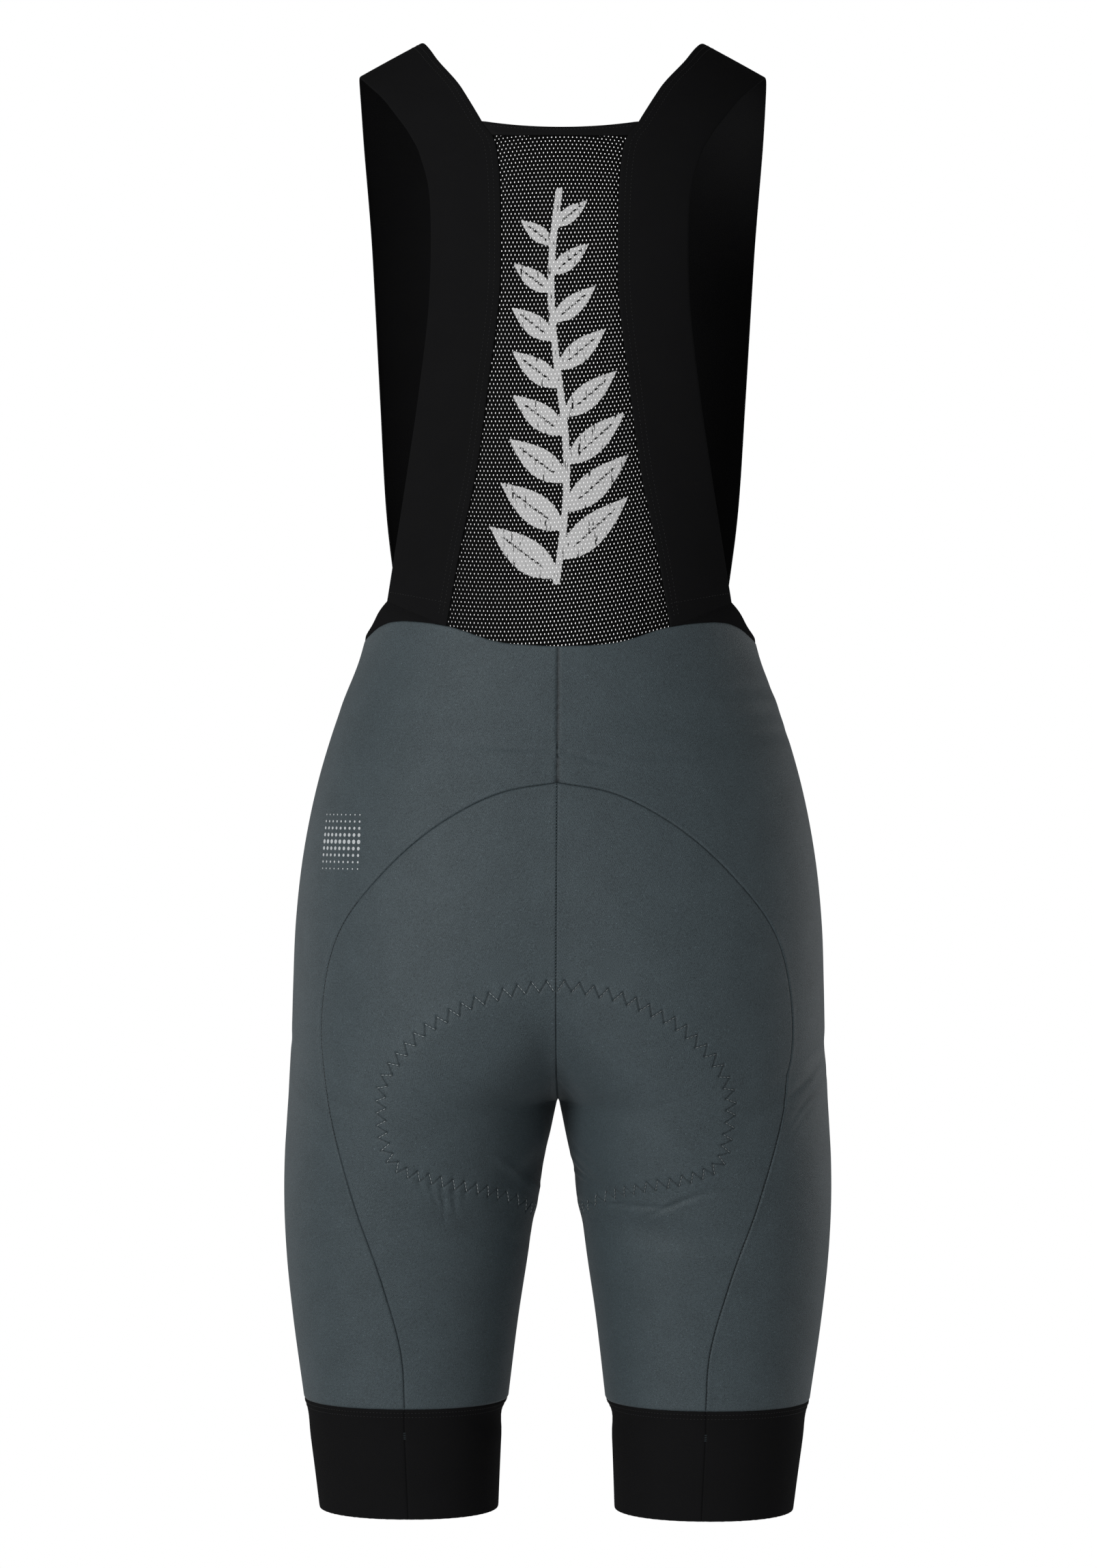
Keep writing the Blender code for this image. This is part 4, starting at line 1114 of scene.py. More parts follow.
def bib_grid():
    """Points, normals, weave places and distances from the edge of the ring of cloth round one armhole."""
    rows = strap_rows()
    at = np.linspace(0.0, len(rows) - 1, (len(rows) - 1) * 3 * BIB_ROW_FINENESS + 1)
    neck, arm = strap_edges(at)
    share = places(1, BIB_COLUMNS)[None, :, None]
    strap = neck[:, None] * (1 - share) + arm[:, None] * share
    strap_points = strap_point(strap[..., 0], strap[..., 1])
    bib = np.linspace(BACK_STRAP_S, FRONT_STRAP_S, BIB_WAIST_COLUMNS * BIB_ROW_FINENESS + 1)
    back_s, front_s = UNDERARM_EDGE[0].s, UNDERARM_EDGE[-1].s
    eased = (back_s + ARMHOLE_EASE_S, front_s - ARMHOLE_EASE_S)
    arm_s = np.interp(bib, (BACK_STRAP_S, *eased, FRONT_STRAP_S), (back_s, *eased, front_s))
    under = pairs(arm_s, level(UNDERARM_EDGE, arm_s))
    band = (waist_place(bib)[:, None] * (1 - share) + under[:, None] * share)[::-1]
    band_points = body_point(band[..., 0], band[..., 1])
    points = np.concatenate([strap_points, band_points[1:-1]])
    share = share[0, :, 0]
    width = np.linalg.norm(points[:, -1] - points[:, 0], axis=1)[:, None]
    weave = pairs(share * width, travelled(points[:, 0])[:, None])
    return points, outward(points), weave, np.minimum(share, 1 - share) * width


def make_bib_side(side):
    points, normals, weave, from_edge = bib_grid()
    points = points + normals * read(BIB_EDGE, from_edge, "distance", "rise")[..., None]
    faces = grid_faces(*points.shape[:2], wraps_rows=True)[:, ::-1]
    outer, facing, weave = points.reshape(-1, 3), normals.reshape(-1, 3), weave.reshape(-1, 2)
    piece = cloth_shell(side_name("bib_strap", side), outer, facing, faces, size("strap_wall"), weave, side)
    finish_piece(piece, plain_cloth("strap_jersey"), (side_name("bib_side", side),))


def net_bounds(x, reach):
    """How far each place lies inside the strap seam, the binding's edge and the waist seam."""
    corner = NECK_CORNER_ROW * STEPS_PER_STRAP_ROW
    at = np.linspace(0.0, NECK_CORNER_ROW, corner * 4 + 1)
    neck, _ = strap_edges(at)
    order = np.argsort(neck[:, 1])
    half_width = np.interp(reach, neck[order, 1], neck[order, 0])
    top_corner, _ = strap_edges(np.array([(corner - BINDING_STEPS) / STEPS_PER_STRAP_ROW]))
    share = np.clip(np.abs(x) / top_corner[0, 0], 0.0, 1.0)
    top = top_corner[0, 1] + NET_TOP_DIP * (1 - share**2)
    s = np.linspace(0.0, BACK_STRAP_S, DENSE_STEPS)
    waist = body_point(s, level(WAIST_SEAM, s))
    bottom = QUARTER_REACH + CHEST_Z - np.interp(np.abs(x), waist[:, 0], waist[:, 2])
    return half_width - np.abs(x), reach - top, bottom - reach


def net_lengths():
    """Lengths down the net's middle from its top and the reaches they come to."""
    reaches = np.linspace(NET_TOP_REACH, NET_BOTTOM_REACH, DENSE_STEPS)
    return travelled(strap_point(0.0, reaches)), reaches


def hung(lattice):
    """(x, reach) of places on the net's own lattice, which bows as it hangs and is drawn wide at its top."""
    x, down = lattice[:, 0], lattice[:, 1]
    x = x * (1 + NET_WIDENING / (1 + np.exp((down - NET_WIDENING_DOWN) / NET_WIDENING_FALL)))
    bow = (NET_BOW * x**2 + NET_TILT * x) * np.clip(down / NET_BOW_FALL, 0.0, 1.0)
    return pairs(x, np.interp(down - bow, *net_lengths()))


def stem_x(down):
    return STEM_SWAY * np.sin((down - PRINT_TOP) / (PRINT_BOTTOM - PRINT_TOP) * 2 * math.pi)


def sprig(lattice):
    """How far each place on the net lies inside the printed sprig, less than nothing outside it."""
    x, down = lattice[:, 0], lattice[:, 1]
    ends = np.minimum(PRINT_BOTTOM + STEM_TAIL - down, down - PRINT_TOP)
    best = np.minimum(STEM_HALF - np.abs(x - stem_x(down)), ends)
    lean = math.radians(LEAF_LEAN)
    for k in range(LEAF_PAIRS):
        grown = 1 - LEAF_SHRINK * k / (LEAF_PAIRS - 1)
        for way in (1, -1):
            root = PRINT_BOTTOM - (PRINT_BOTTOM - PRINT_TOP) * k / LEAF_PAIRS + way * LEAF_STAGGER
            out, up = way * (x - stem_x(root)), root - down
            along = (out * math.sin(lean) + up * math.cos(lean)) / (LEAF_LENGTH * grown)
            across = np.abs(out * math.cos(lean) - up * math.sin(lean))
            swell = np.sin(math.pi * np.clip(along, 0.0, 1.0) ** LEAF_POWER)
            inside = np.where((along > 0) & (along < 1), LEAF_HALF * grown * swell - across, -PRINT_REACH)
            veined = (along > VEIN_START) & (along < VEIN_END)
            inside = np.where(veined, np.minimum(inside, across - VEIN_HALF), inside)
            best = np.maximum(best, inside)
    return np.clip(best, -PRINT_REACH, PRINT_REACH)


def make_net():
    """Net with its oval holes cut through, on its own lattice."""
    pitch, row_step = size("net_pitch"), size("net_row")
    wide, tall = size("net_hole_width"), size("net_hole_height")
    rows = int((net_lengths()[0][-1] + NET_BELOW) / row_step)
    across = int(NET_HALF / pitch)
    cells = [(2 * column + row % 2, row) for row in range(rows) for column in range(-across, across + 1)]
    middles = hung(np.array(cells) * (pitch / 2, row_step))
    beside, above, below = net_bounds(middles[:, 0], middles[:, 1])
    kept = (beside > -NET_UNDER) & (above > -NET_UNDER_TOP) & (below > -NET_UNDER)
    corner_index, lattice, lifts, faces = {}, [], [], []

    def corner(key, x, down, lift):
        if key not in corner_index:
            corner_index[key] = len(lattice)
            lattice.append((x, down))
            lifts.append(lift)
        return corner_index[key]

    for middle, row in [cell for cell, keep in zip(cells, kept) if keep]:
        outer, hole = [], []
        for half, level_row in ((-1, 0), (0, 0), (1, 0), (1, 1), (0, 1), (-1, 1)):
            key = (middle + half, row + level_row)
            outer.append(corner(key, key[0] * pitch / 2, (key[1] - 0.5) * row_step, YARN_CROWN))
            hole_x = middle * pitch / 2 + half * wide / 2
            hole_down = row * row_step + (tall / 4 if half else tall / 2) * (1 if level_row else -1)
            hole.append(corner((middle, row, half, level_row), hole_x, hole_down, 0.0))
        for k in range(6):
            after = (k + 1) % 6
            faces.append((outer[k], outer[after], hole[after], hole[k]))
    lattice = np.array(lattice)
    plane = hung(lattice)
    base = strap_point(plane[:, 0], plane[:, 1])
    normals = outward(base)
    inside = np.min(net_bounds(plane[:, 0], plane[:, 1]), axis=0)
    sunk = NET_REST + (NET_SUNK - NET_REST) * np.clip(1 - inside / NET_EASE, 0.0, 1.0) ** NET_EASE_POWER
    points = base + normals * (np.array(lifts) - sunk)[:, None]
    marks = {PRINT_LAYER: sprig(lattice)}
    piece = cloth_shell("back_net", points, normals, faces, size("net_wall"), lattice, marks=marks)
    finish_piece(piece, printed_net(), ("mesh_back_panel",))


# The folded binding's section: shares of its height and depths below its outer face.
BINDING_SECTION = table(
    "height depth",
    (0, 0.35), (0.02, 0.05), (0.1, -0.05), (0.3, -0.1), (0.42, 0.05), (0.54, -0.1), (0.9, -0.05),
    (1, 0.12), (1.05, 0.5), (1.06, 0.9), (1.03, 1.35), (0.95, 1.6), (0.5, 1.65), (0.05, 1.6), (0, 1.4),
)


def binding_places(height, share):
    """(x, reach) on the binding at heights from its lower edge and shares of its half-length."""
    corner = NECK_CORNER_ROW * STEPS_PER_STRAP_ROW
    low, _ = strap_edges(np.array([(corner - BINDING_STEPS) / STEPS_PER_STRAP_ROW]))
    high, _ = strap_edges(np.array([float(NECK_CORNER_ROW)]))
    lower = pairs(low[0, 0] * share, low[0, 1] + NET_TOP_DIP * (1 - share**2))
    upper = pairs(high[0, 0] * share, high[0, 1] + NECK_DIP * (1 - share**2))
    return lower * (1 - height) + upper * height


def make_binding():
    """Narrow folded binding along the net's top edge."""
    share = np.linspace(-BINDING_REACH, BINDING_REACH, BINDING_COLUMNS + 1)
    rows, depths = zip(*BINDING_SECTION)
    plane = binding_places(np.array(rows)[:, None, None], share)
    base = strap_point(plane[..., 0], plane[..., 1])
    normals = outward(base)
    past = (np.abs(share) - BINDING_CORNER) / (BINDING_REACH - BINDING_CORNER)
    tucked = BINDING_TUCK * np.clip(past, 0.0, 1.0) ** 0.5
    points = base - normals * (np.array(depths)[:, None] + tucked)[..., None]
    columns = len(share)
    faces = grid_faces(len(rows), columns, wraps_rows=True)[:, ::-1].tolist()
    ends = np.arange(len(rows)) * columns
    faces += [ends.tolist(), (ends[::-1] + columns - 1).tolist()]
    piece = mesh_piece("neck_edge_binding", points.reshape(-1, 3), faces, plane.reshape(-1, 2))
    finish_piece(piece, plain_cloth("binding_elastic"), ("neck_binding",))


def gripper_shape(shares, drops):
    """Points and level normals of the band at places round the leg and drops below its join."""
    join = body_point(shares, np.full_like(shares, HEM_Z))
    angle = math.pi * (1 - 2 * shares)
    rings = [join[:, :2]]
    for row in GRIPPER:
        half = (row.outer - row.inner) / 2
        x = (row.outer + row.inner) / 2 + half * signed_power(np.cos(angle), 2 / SECTION_POWER)
        depth = (row.back - row.front) / 2
        y = (row.back + row.front) / 2 + depth * signed_power(np.sin(angle), 2 / SECTION_POWER)
        rings.append(pairs(x, y))
    known = [0.0, *column_of(GRIPPER, "drop")]
    shapes = np.stack(rings)
    flat = np.empty((len(drops), len(shares), 2))
    for place in range(len(shares)):
        for axis in range(2):
            flat[:, place, axis] = through(known, shapes[:, place, axis], drops)
    z = np.repeat((HEM_Z - drops)[:, None], len(shares), axis=1)
    points = np.concatenate([flat, z[..., None]], axis=-1)
    middle = np.array([(GRIPPER[0].outer + GRIPPER[0].inner) / 2, 0.0, 0.0])
    normals = (points - middle) * (1.0, 1.0, 0.0)
    normals /= np.linalg.norm(normals, axis=-1, keepdims=True)
    return points + normals * read(GRIPPER_EDGE, drops, "distance", "rise")[:, None, None], normals


def band_seam_s():
    """Place round the leg of the band's own seam, which carries on the arched seam."""
    return float(arch_place(float(ARCH_STEPS))[0])


def make_gripper(side):
    """Elastic band round the hem of one leg, stepped in under its join and cut raw below."""
    drops = np.array(GRIPPER_DROPS)
    seam = np.array(BAND_SEAM)
    even = np.linspace(0.0, 1.0, GRIPPER_COLUMNS, endpoint=False)
    near = band_seam_s() + seam[:, 0] / GRIPPER_ROUND
    clear = even[np.abs(even - band_seam_s()) > BAND_SEAM_CLEAR / GRIPPER_ROUND]
    shares = np.sort(np.concatenate([clear, near]))
    points, normals = gripper_shape(shares, drops)
    angle = math.pi * (1 - 2 * shares)
    ragged = RAW_EDGE * sum(np.sin(angle * waves + start) for waves, start in RAW_WAVES)
    points[-1, :, 2] += ragged
    points[-2, :, 2] += ragged * 0.5
    sunk = np.interp((shares - band_seam_s()) * GRIPPER_ROUND, seam[:, 0], seam[:, 1])
    points = points + normals * sunk[None, :, None]
    weave_x = np.cumsum(np.linalg.norm(np.roll(points[4], -1, axis=0) - points[4], axis=1))
    weave = pairs(weave_x[None], points[..., 2])
    faces = grid_faces(len(drops), len(shares), wraps_columns=True)
    name = side_name("leg_gripper", side)
    outer, facing, weave = points.reshape(-1, 3), normals.reshape(-1, 3), weave.reshape(-1, 2)
    piece = cloth_shell(name, outer, facing, faces, size("band_wall"), weave, side)
    finish_piece(piece, plain_cloth("band_elastic"), (side_name("hem_band", side),))


def make_pad():
    """Seat pad inside the shorts, thick in the middle and thin at its sewn rim."""
    at = np.linspace(0.0, 1.0, PAD_COLUMNS * PAD_FINENESS + 1)
    count = (len(PAD_OUTLINE) - 1) * PAD_FINENESS + 1
    knots = np.arange(len(PAD_OUTLINE))
    row_at = np.linspace(0, len(PAD_OUTLINE) - 1, count)
    turned = [1 - row.end_s if row.start_front else -row.end_s for row in PAD_OUTLINE]
    start_z, end_z, signed_s = (
        through(knots, values, row_at)[:, None]
        for values in (column_of(PAD_OUTLINE, "start_z"), column_of(PAD_OUTLINE, "end_z"), turned)
    )
    start_s = np.where(signed_s > 0, 1.0, 0.0)
    end_s = np.where(signed_s > 0, 1 - signed_s, -signed_s)
    half = body_point(start_s + (end_s - start_s) * at, start_z + (end_z - start_z) * at)
    half_normals = outward(half)
    flip = np.array([-1.0, 1.0, 1.0])
    left = half + half_normals * relief(half, 1)[..., None]
    right = half + half_normals * relief(half, -1)[..., None]
    points = np.concatenate([right[:, :0:-1] * flip, left], axis=1)
    normals = np.concatenate([half_normals[:, :0:-1] * flip, half_normals], axis=1)
    rows, columns = points.shape[:2]
    across = np.abs(np.linspace(-1.0, 1.0, columns))[None, :]
    along = np.abs(np.linspace(-1.0, 1.0, rows))[:, None]
    fullness = (1 - across**PAD_FULLNESS) * (1 - along**PAD_FULLNESS)
    thickness = PAD_RIM + (PAD_MIDDLE - PAD_RIM) * fullness
    crease = bell(points[..., 0], PAD_CREASE_WIDTH)
    outer = (points - normals * (PAD_UNDER + PAD_CREASE_GAP * crease)[..., None]).reshape(-1, 3)
    facing, faces = normals.reshape(-1, 3), grid_faces(rows, columns)
    piece = cloth_shell("seat_pad", outer, facing, faces, thickness.reshape(-1, 1), outer[:, [0, 2]])
    finish_piece(piece, plain_cloth("pad_microfibre"), ("chamois_pad",))


# ---------------------------------------------------------------- sewing

def pad_stitching(side):
    """Zigzag thread round the pad, raised on every second leg and pulled deep on the others. The one thread
    is painted in light and shade: pale on the raised legs, darker on those of the right half, and slate on
    the sunk legs.
    """
    corners = pad_zigzag(side)
    for odd, look, radius, sunk in (
        (0, "pale_thread" if side > 0 else "soft_thread", RAISED_THREAD, RAISED_SUNK),
        (1, "slate_thread", SUNK_THREAD, SUNK_SUNK),
    ):
        legs = np.stack([corners[odd:-1:2], corners[odd + 1 :: 2]], axis=1)
        spans = [[leg[0] + (leg[1] - leg[0]) * end for end in span] for leg in legs for span in LEG_STITCHES]
        base = np.array(spans).reshape(-1, 3)
        normals = outward(base)
        rise = relief(base, side) + fold_rise(base, side) + pad_swell(base) - sunk
        ends = (base + normals * rise[:, None]).reshape(-1, 2, 3)
        name = side_name("pad_zigzag_sunk" if odd else "pad_zigzag_raised", side)
        rows = stitches(name, ends[:, 0], ends[:, 1], normals[::2], radius, side)
        finish_piece(rows, thread(look))


def arch_stitching(side, lines):
    """Dark stitches that show as dots in the arched seam, a painted stand-in for the shade in its needle
    holes.
    """
    top, bottom = ARCH_DOTS_LEFT if side > 0 else ARCH_DOTS_RIGHT
    points = lines["arch"].points
    points = points[(points[:, 2] < top) & (points[:, 2] > bottom)]
    normals = outward(points)
    rise = relief(points, side) + fold_rise(points, side) - ARCH_DOT_SUNK
    run = stitch_run(points + normals * rise[:, None], normals, ARCH_DOT_PITCH, ARCH_DOT_SHARE)
    dots = stitches(side_name("arch_seam_thread", side), *run, ARCH_DOT_THREAD, side)
    finish_piece(dots, thread("dark_thread"))


def centre_stitching():
    """Slanting stitches that rope the centre-back seam together over the seat."""
    z = np.arange(ROPE_TOP, ROPE_BOTTOM, -ROPE_PITCH)
    x = np.full_like(z, ROPE_HALF)
    starts = body_point(s_of_x(x, z), z) * (-1.0, 1.0, 1.0)
    ends = body_point(s_of_x(x, z - ROPE_SLANT), z - ROPE_SLANT)
    normals = outward((starts + ends) / 2)
    lower = normals * ROPE_SUNK
    rope = stitches("centre_seam_thread", starts - lower, ends - lower, normals, ROPE_THREAD)
    finish_piece(rope, thread("slate_thread"))


def strap_stitching(side):
    """Two needle rows along the strap's neck edge and one across its base."""
    last = len(strap_rows()) - 1
    at = np.linspace(STRAP_STITCH_END, last - STRAP_STITCH_END, DENSE_STEPS * 2)
    neck, arm = strap_edges(at)
    width = np.linalg.norm(strap_point(*neck.T) - strap_point(*arm.T), axis=1, keepdims=True)
    runs = []
    for row in STRAP_STITCH_ROWS:
        points = strap_point(*(neck + (arm - neck) * row / width).T)
        runs.append(stitch_run(points, outward(points), STRAP_PITCH, STRAP_SHARE))
    start, end = neck[0] - (0.0, STRAP_BASE_DROP[0]), arm[0] - (0.0, STRAP_BASE_DROP[1])
    base = strap_point(*(start + (end - start) * np.linspace(*STRAP_BASE_SHARES, DENSE_STEPS)[:, None]).T)
    runs.append(stitch_run(base, outward(base), STRAP_PITCH, STRAP_SHARE))
    rows = stitches(side_name("strap_thread", side), *joined(runs), STRAP_THREAD, side)
    finish_piece(rows, thread("black_thread"))


def hem_stitching(side):
    """Two needle rows round the band's join and the bar tack on its seam."""
    shares = np.linspace(0.0, 1.0, DENSE_STEPS * 2)
    points, normals = gripper_shape(shares, np.array(HEM_STITCH_DROPS))
    runs = [stitch_run(points[k], normals[k], HEM_PITCH, HEM_SHARE) for k in range(len(points))]
    rows = stitches(side_name("hem_thread", side), *joined(runs), HEM_THREAD, side)
    finish_piece(rows, thread("black_thread"))
    beside = band_seam_s() + np.array([-TACK_HALF, TACK_HALF]) / GRIPPER_ROUND
    points, normals = gripper_shape(beside, np.array(TACK_DROPS))
    name = side_name("band_tack", side)
    tack = stitches(name, points[:, 0], points[:, 1], normals[:, 0], TACK_THREAD, side)
    finish_piece(tack, thread("slate_thread"))


def binding_stitching():
    """One needle row along the neck binding."""
    share = np.linspace(-BINDING_STITCH_END, BINDING_STITCH_END, DENSE_STEPS)
    points = strap_point(*binding_places(BINDING_STITCH_HEIGHT, share).T)
    run = stitch_run(points, outward(points), BINDING_PITCH, BINDING_SHARE)
    finish_piece(stitches("binding_thread", *run, BINDING_THREAD), thread("black_thread"))


# ---------------------------------------------------------------- shader nodes

class Wiring:
    """Adds nodes to a tree, wired from the values or sockets given for their inputs."""

    def __init__(self, tree):
        self.tree = tree

    def node(self, kind, inputs=None, **settings):
        made = self.tree.nodes.new(kind)
        for name, value in settings.items():
            setattr(made, name, value)
        for key, value in (inputs or {}).items():
            if isinstance(value, bpy.types.NodeSocket):
                self.tree.links.new(value, made.inputs[key])
            else:
                made.inputs[key].default_value = value
        return made

    def feed(self, shader, name, socket):
        self.tree.links.new(socket, shader.inputs[name])

    def math(self, operation, *values, clamp=False):
        node = self.node("ShaderNodeMath", dict(enumerate(values)), operation=operation, use_clamp=clamp)
        return node.outputs[0]

    def times(self, first, second, clamp=False):
        return self.math("MULTIPLY", first, second, clamp=clamp)

    def plus(self, first, second):
        return self.math("ADD", first, second)

    def minus(self, first, second):
        return self.math("SUBTRACT", first, second)

    def range(self, value, low, high, to_low=0.0, to_high=1.0, smooth=False):
        inputs = {0: value, 1: low, 2: high, 3: to_low, 4: to_high}
        kind = "SMOOTHSTEP" if smooth else "LINEAR"
        return self.node("ShaderNodeMapRange", inputs, interpolation_type=kind).outputs[0]

    def noise(self, vector, scale, detail=2.0, roughness=0.5):
        inputs = {"Vector": vector, "Scale": scale, "Detail": detail, "Roughness": roughness}
        return self.node("ShaderNodeTexNoise", inputs).outputs["Fac"]

    def mapped(self, vector, turn=0.0, scale=(1, 1, 1)):
        inputs = {"Vector": vector, "Rotation": (0, 0, math.radians(turn)), "Scale": scale}
        return self.node("ShaderNodeMapping", inputs).outputs[0]

    def mixed(self, share, first, second):
        inputs = {"Factor": share, 6: first, 7: second}
        return self.node("ShaderNodeMix", inputs, data_type="RGBA").outputs[2]

    def parts(self, vector):
        return self.node("ShaderNodeSeparateXYZ", {0: vector}).outputs


def group(name, inputs, outputs, fill):
    """A shader node group with named sockets, made once."""
    found = bpy.data.node_groups.get(name)
    if found:
        return found
    tree = bpy.data.node_groups.new(name, "ShaderNodeTree")
    for label, kind, default in inputs:
        socket = tree.interface.new_socket(label, in_out="INPUT", socket_type=kind)
        if default is not None:
            socket.default_value = default
    for label, kind in outputs:
        tree.interface.new_socket(label, in_out="OUTPUT", socket_type=kind)
    wiring = Wiring(tree)
    given = tree.nodes.new("NodeGroupInput").outputs
    results = fill(wiring, given)
    out = tree.nodes.new("NodeGroupOutput")
    for label, socket in results.items():
        tree.links.new(socket, out.inputs[label])
    return tree


FLOAT, VECTOR = "NodeSocketFloat", "NodeSocketVector"


def knit_group():
    """Fine wales crossed by a slanting rib, with an uneven yarn: a height and a tone."""

    def fill(w, given):
        x, y, _ = w.parts(given["Weave"])
        wander = w.noise(given["Weave"], YARN_WANDER_SCALE, 2.0)
        slanted = w.plus(w.times(x, RIB_LEAN[0]), w.times(y, RIB_LEAN[1]))
        slanted = w.plus(slanted, w.times(wander, YARN_WANDER))
        rib = w.math("SINE", w.math("DIVIDE", w.times(slanted, 2 * math.pi), given["Rib pitch"]))
        wale = w.math("SINE", w.math("DIVIDE", w.times(x, 2 * math.pi), given["Wale pitch"]))
        course = w.math("SINE", w.math("DIVIDE", w.times(y, 2 * math.pi), given["Wale pitch"]))
        loops = w.times(wale, course)
        grain = w.noise(given["Place"], given["Grain size"], 2.0, 0.6)
        ribs = w.times(w.times(rib, 0.5), given["Rib"])
        fine = w.times(w.times(loops, 0.5), given["Loops"])
        rough = w.times(w.minus(grain, 0.5), given["Grain"])
        height = w.plus(w.plus(ribs, fine), rough)
        patchy = w.noise(given["Weave"], PATCH_SCALE, 3.0, 0.6)
        patches = w.times(w.minus(patchy, 0.5), PATCHES)
        tone = w.plus(w.times(height, 0.5), patches)
        return {"Height": height, "Tone": tone}

    inputs = [
        ("Weave", VECTOR, None),
        ("Place", VECTOR, None),
        ("Rib pitch", FLOAT, 1.1),
        ("Wale pitch", FLOAT, 0.9),
        ("Rib", FLOAT, 0.5),
        ("Loops", FLOAT, 0.5),
        ("Grain", FLOAT, 1.0),
        ("Grain size", FLOAT, 2.2),
    ]
    return group("Knit", inputs, [("Height", FLOAT), ("Tone", FLOAT)], fill)


def fleck_group():
    """Sparse pale specks of lint and glossy filament."""

    def fill(w, given):
        cells = w.node("ShaderNodeTexVoronoi", {"Vector": given["Weave"], "Scale": given["Density"]})
        chosen = w.math("GREATER_THAN", w.parts(cells.outputs["Color"])[0], given["Rarity"])
        spot = w.range(cells.outputs["Distance"], *FLECK_EDGE)
        return {"Mask": w.times(spot, chosen, clamp=True)}

    inputs = [("Weave", VECTOR, None), ("Density", FLOAT, 0.4), ("Rarity", FLOAT, 0.8)]
    return group("Flecks", inputs, [("Mask", FLOAT)], fill)


def placed(w, tree, values):
    return w.node("ShaderNodeGroup", values, node_tree=tree).outputs


def new_material(name):
    made = bpy.data.materials.new(name)
    made.use_nodes = True
    shader = made.node_tree.nodes["Principled BSDF"]
    return made, Wiring(made.node_tree), shader


def set_finish(shader, roughness, specular, sheen, sheen_roughness, tint=(1.0, 1.0, 1.0)):
    """The values that are the same all over a cloth."""
    values = {"Roughness": roughness, "Metallic": 0.0, "Specular IOR Level": specular, "Sheen Weight": sheen}
    values.update({"Sheen Roughness": sheen_roughness, "Sheen Tint": (*tint, 1.0)})
    for name, value in values.items():
        shader.inputs[name].default_value = value


def bump(w, shader, height, distance, strength=1.0):
    node = w.node("ShaderNodeBump", {"Height": height, "Distance": distance * MM, "Strength": strength})
    w.feed(shader, "Normal", node.outputs[0])


def shaded(colour, factor):
    return (*(part * factor for part in colour), 1.0)


def tinted(w, tone, colour, spread):
    """The colour, darker and lighter by spread as the tone goes from -1 to 1."""
    share = w.range(tone, -1.0, 1.0)
    return w.mixed(share, shaded(colour, 1 - spread), shaded(colour, 1 + spread))


def weave_of(w, turn=0.0):
    layer = w.node("ShaderNodeUVMap", uv_map=WEAVE_LAYER).outputs[0]
    return w.mapped(layer, turn=turn)


def place_of(w):
    """Places on the piece in millimetres, for a grain that no cut or stretch pulls long."""
    return w.mapped(w.node("ShaderNodeTexCoord").outputs["Object"], scale=(1 / MM, 1 / MM, 1 / MM))


def settings():
    return bpy.context.scene.bib_shorts


def size(name):
    """One of the user's sizes in millimetres."""
    return getattr(settings().sizes, name) / MM


def dot_group():
    """A field of round dots on the cloth, smaller away from its middle row."""

    def fill(w, given):
        x, y, _ = w.parts(given["Weave"])
        across = w.math("DIVIDE", w.minus(x, given["Round"]), given["Pitch"])
        up = w.math("DIVIDE", w.minus(y, given["Height"]), given["Pitch"])
        column, row = w.math("ROUND", across), w.math("ROUND", up)
        off_x, off_y = w.minus(across, column), w.minus(up, row)
        away = w.math("SQRT", w.plus(w.times(off_x, off_x), w.times(off_y, off_y)))
        far_row, far_column = w.math("ABSOLUTE", row), w.math("ABSOLUTE", column)
        radius = w.times(given["Size"], w.minus(1.0, w.times(far_row, DOT_SHRINK)))
        edge = w.minus(radius, w.times(away, given["Pitch"]))
        dot = w.range(edge, *DOT_EDGE, smooth=True)
        columns = w.math("LESS_THAN", far_column, w.plus(given["Columns"], 0.5))
        rows = w.math("LESS_THAN", far_row, w.plus(given["Rows"], 0.5))
        return {"Mask": w.times(dot, w.times(columns, rows))}

    inputs = [("Weave", VECTOR, None)]
    inputs += [(label, FLOAT, 1.0) for label in ("Round", "Height", "Pitch", "Columns", "Rows", "Size")]
    return group("Dot field", inputs, [("Mask", FLOAT)], fill)


def mark_of(w, layer):
    return w.node("ShaderNodeAttribute", attribute_name=layer).outputs["Fac"]


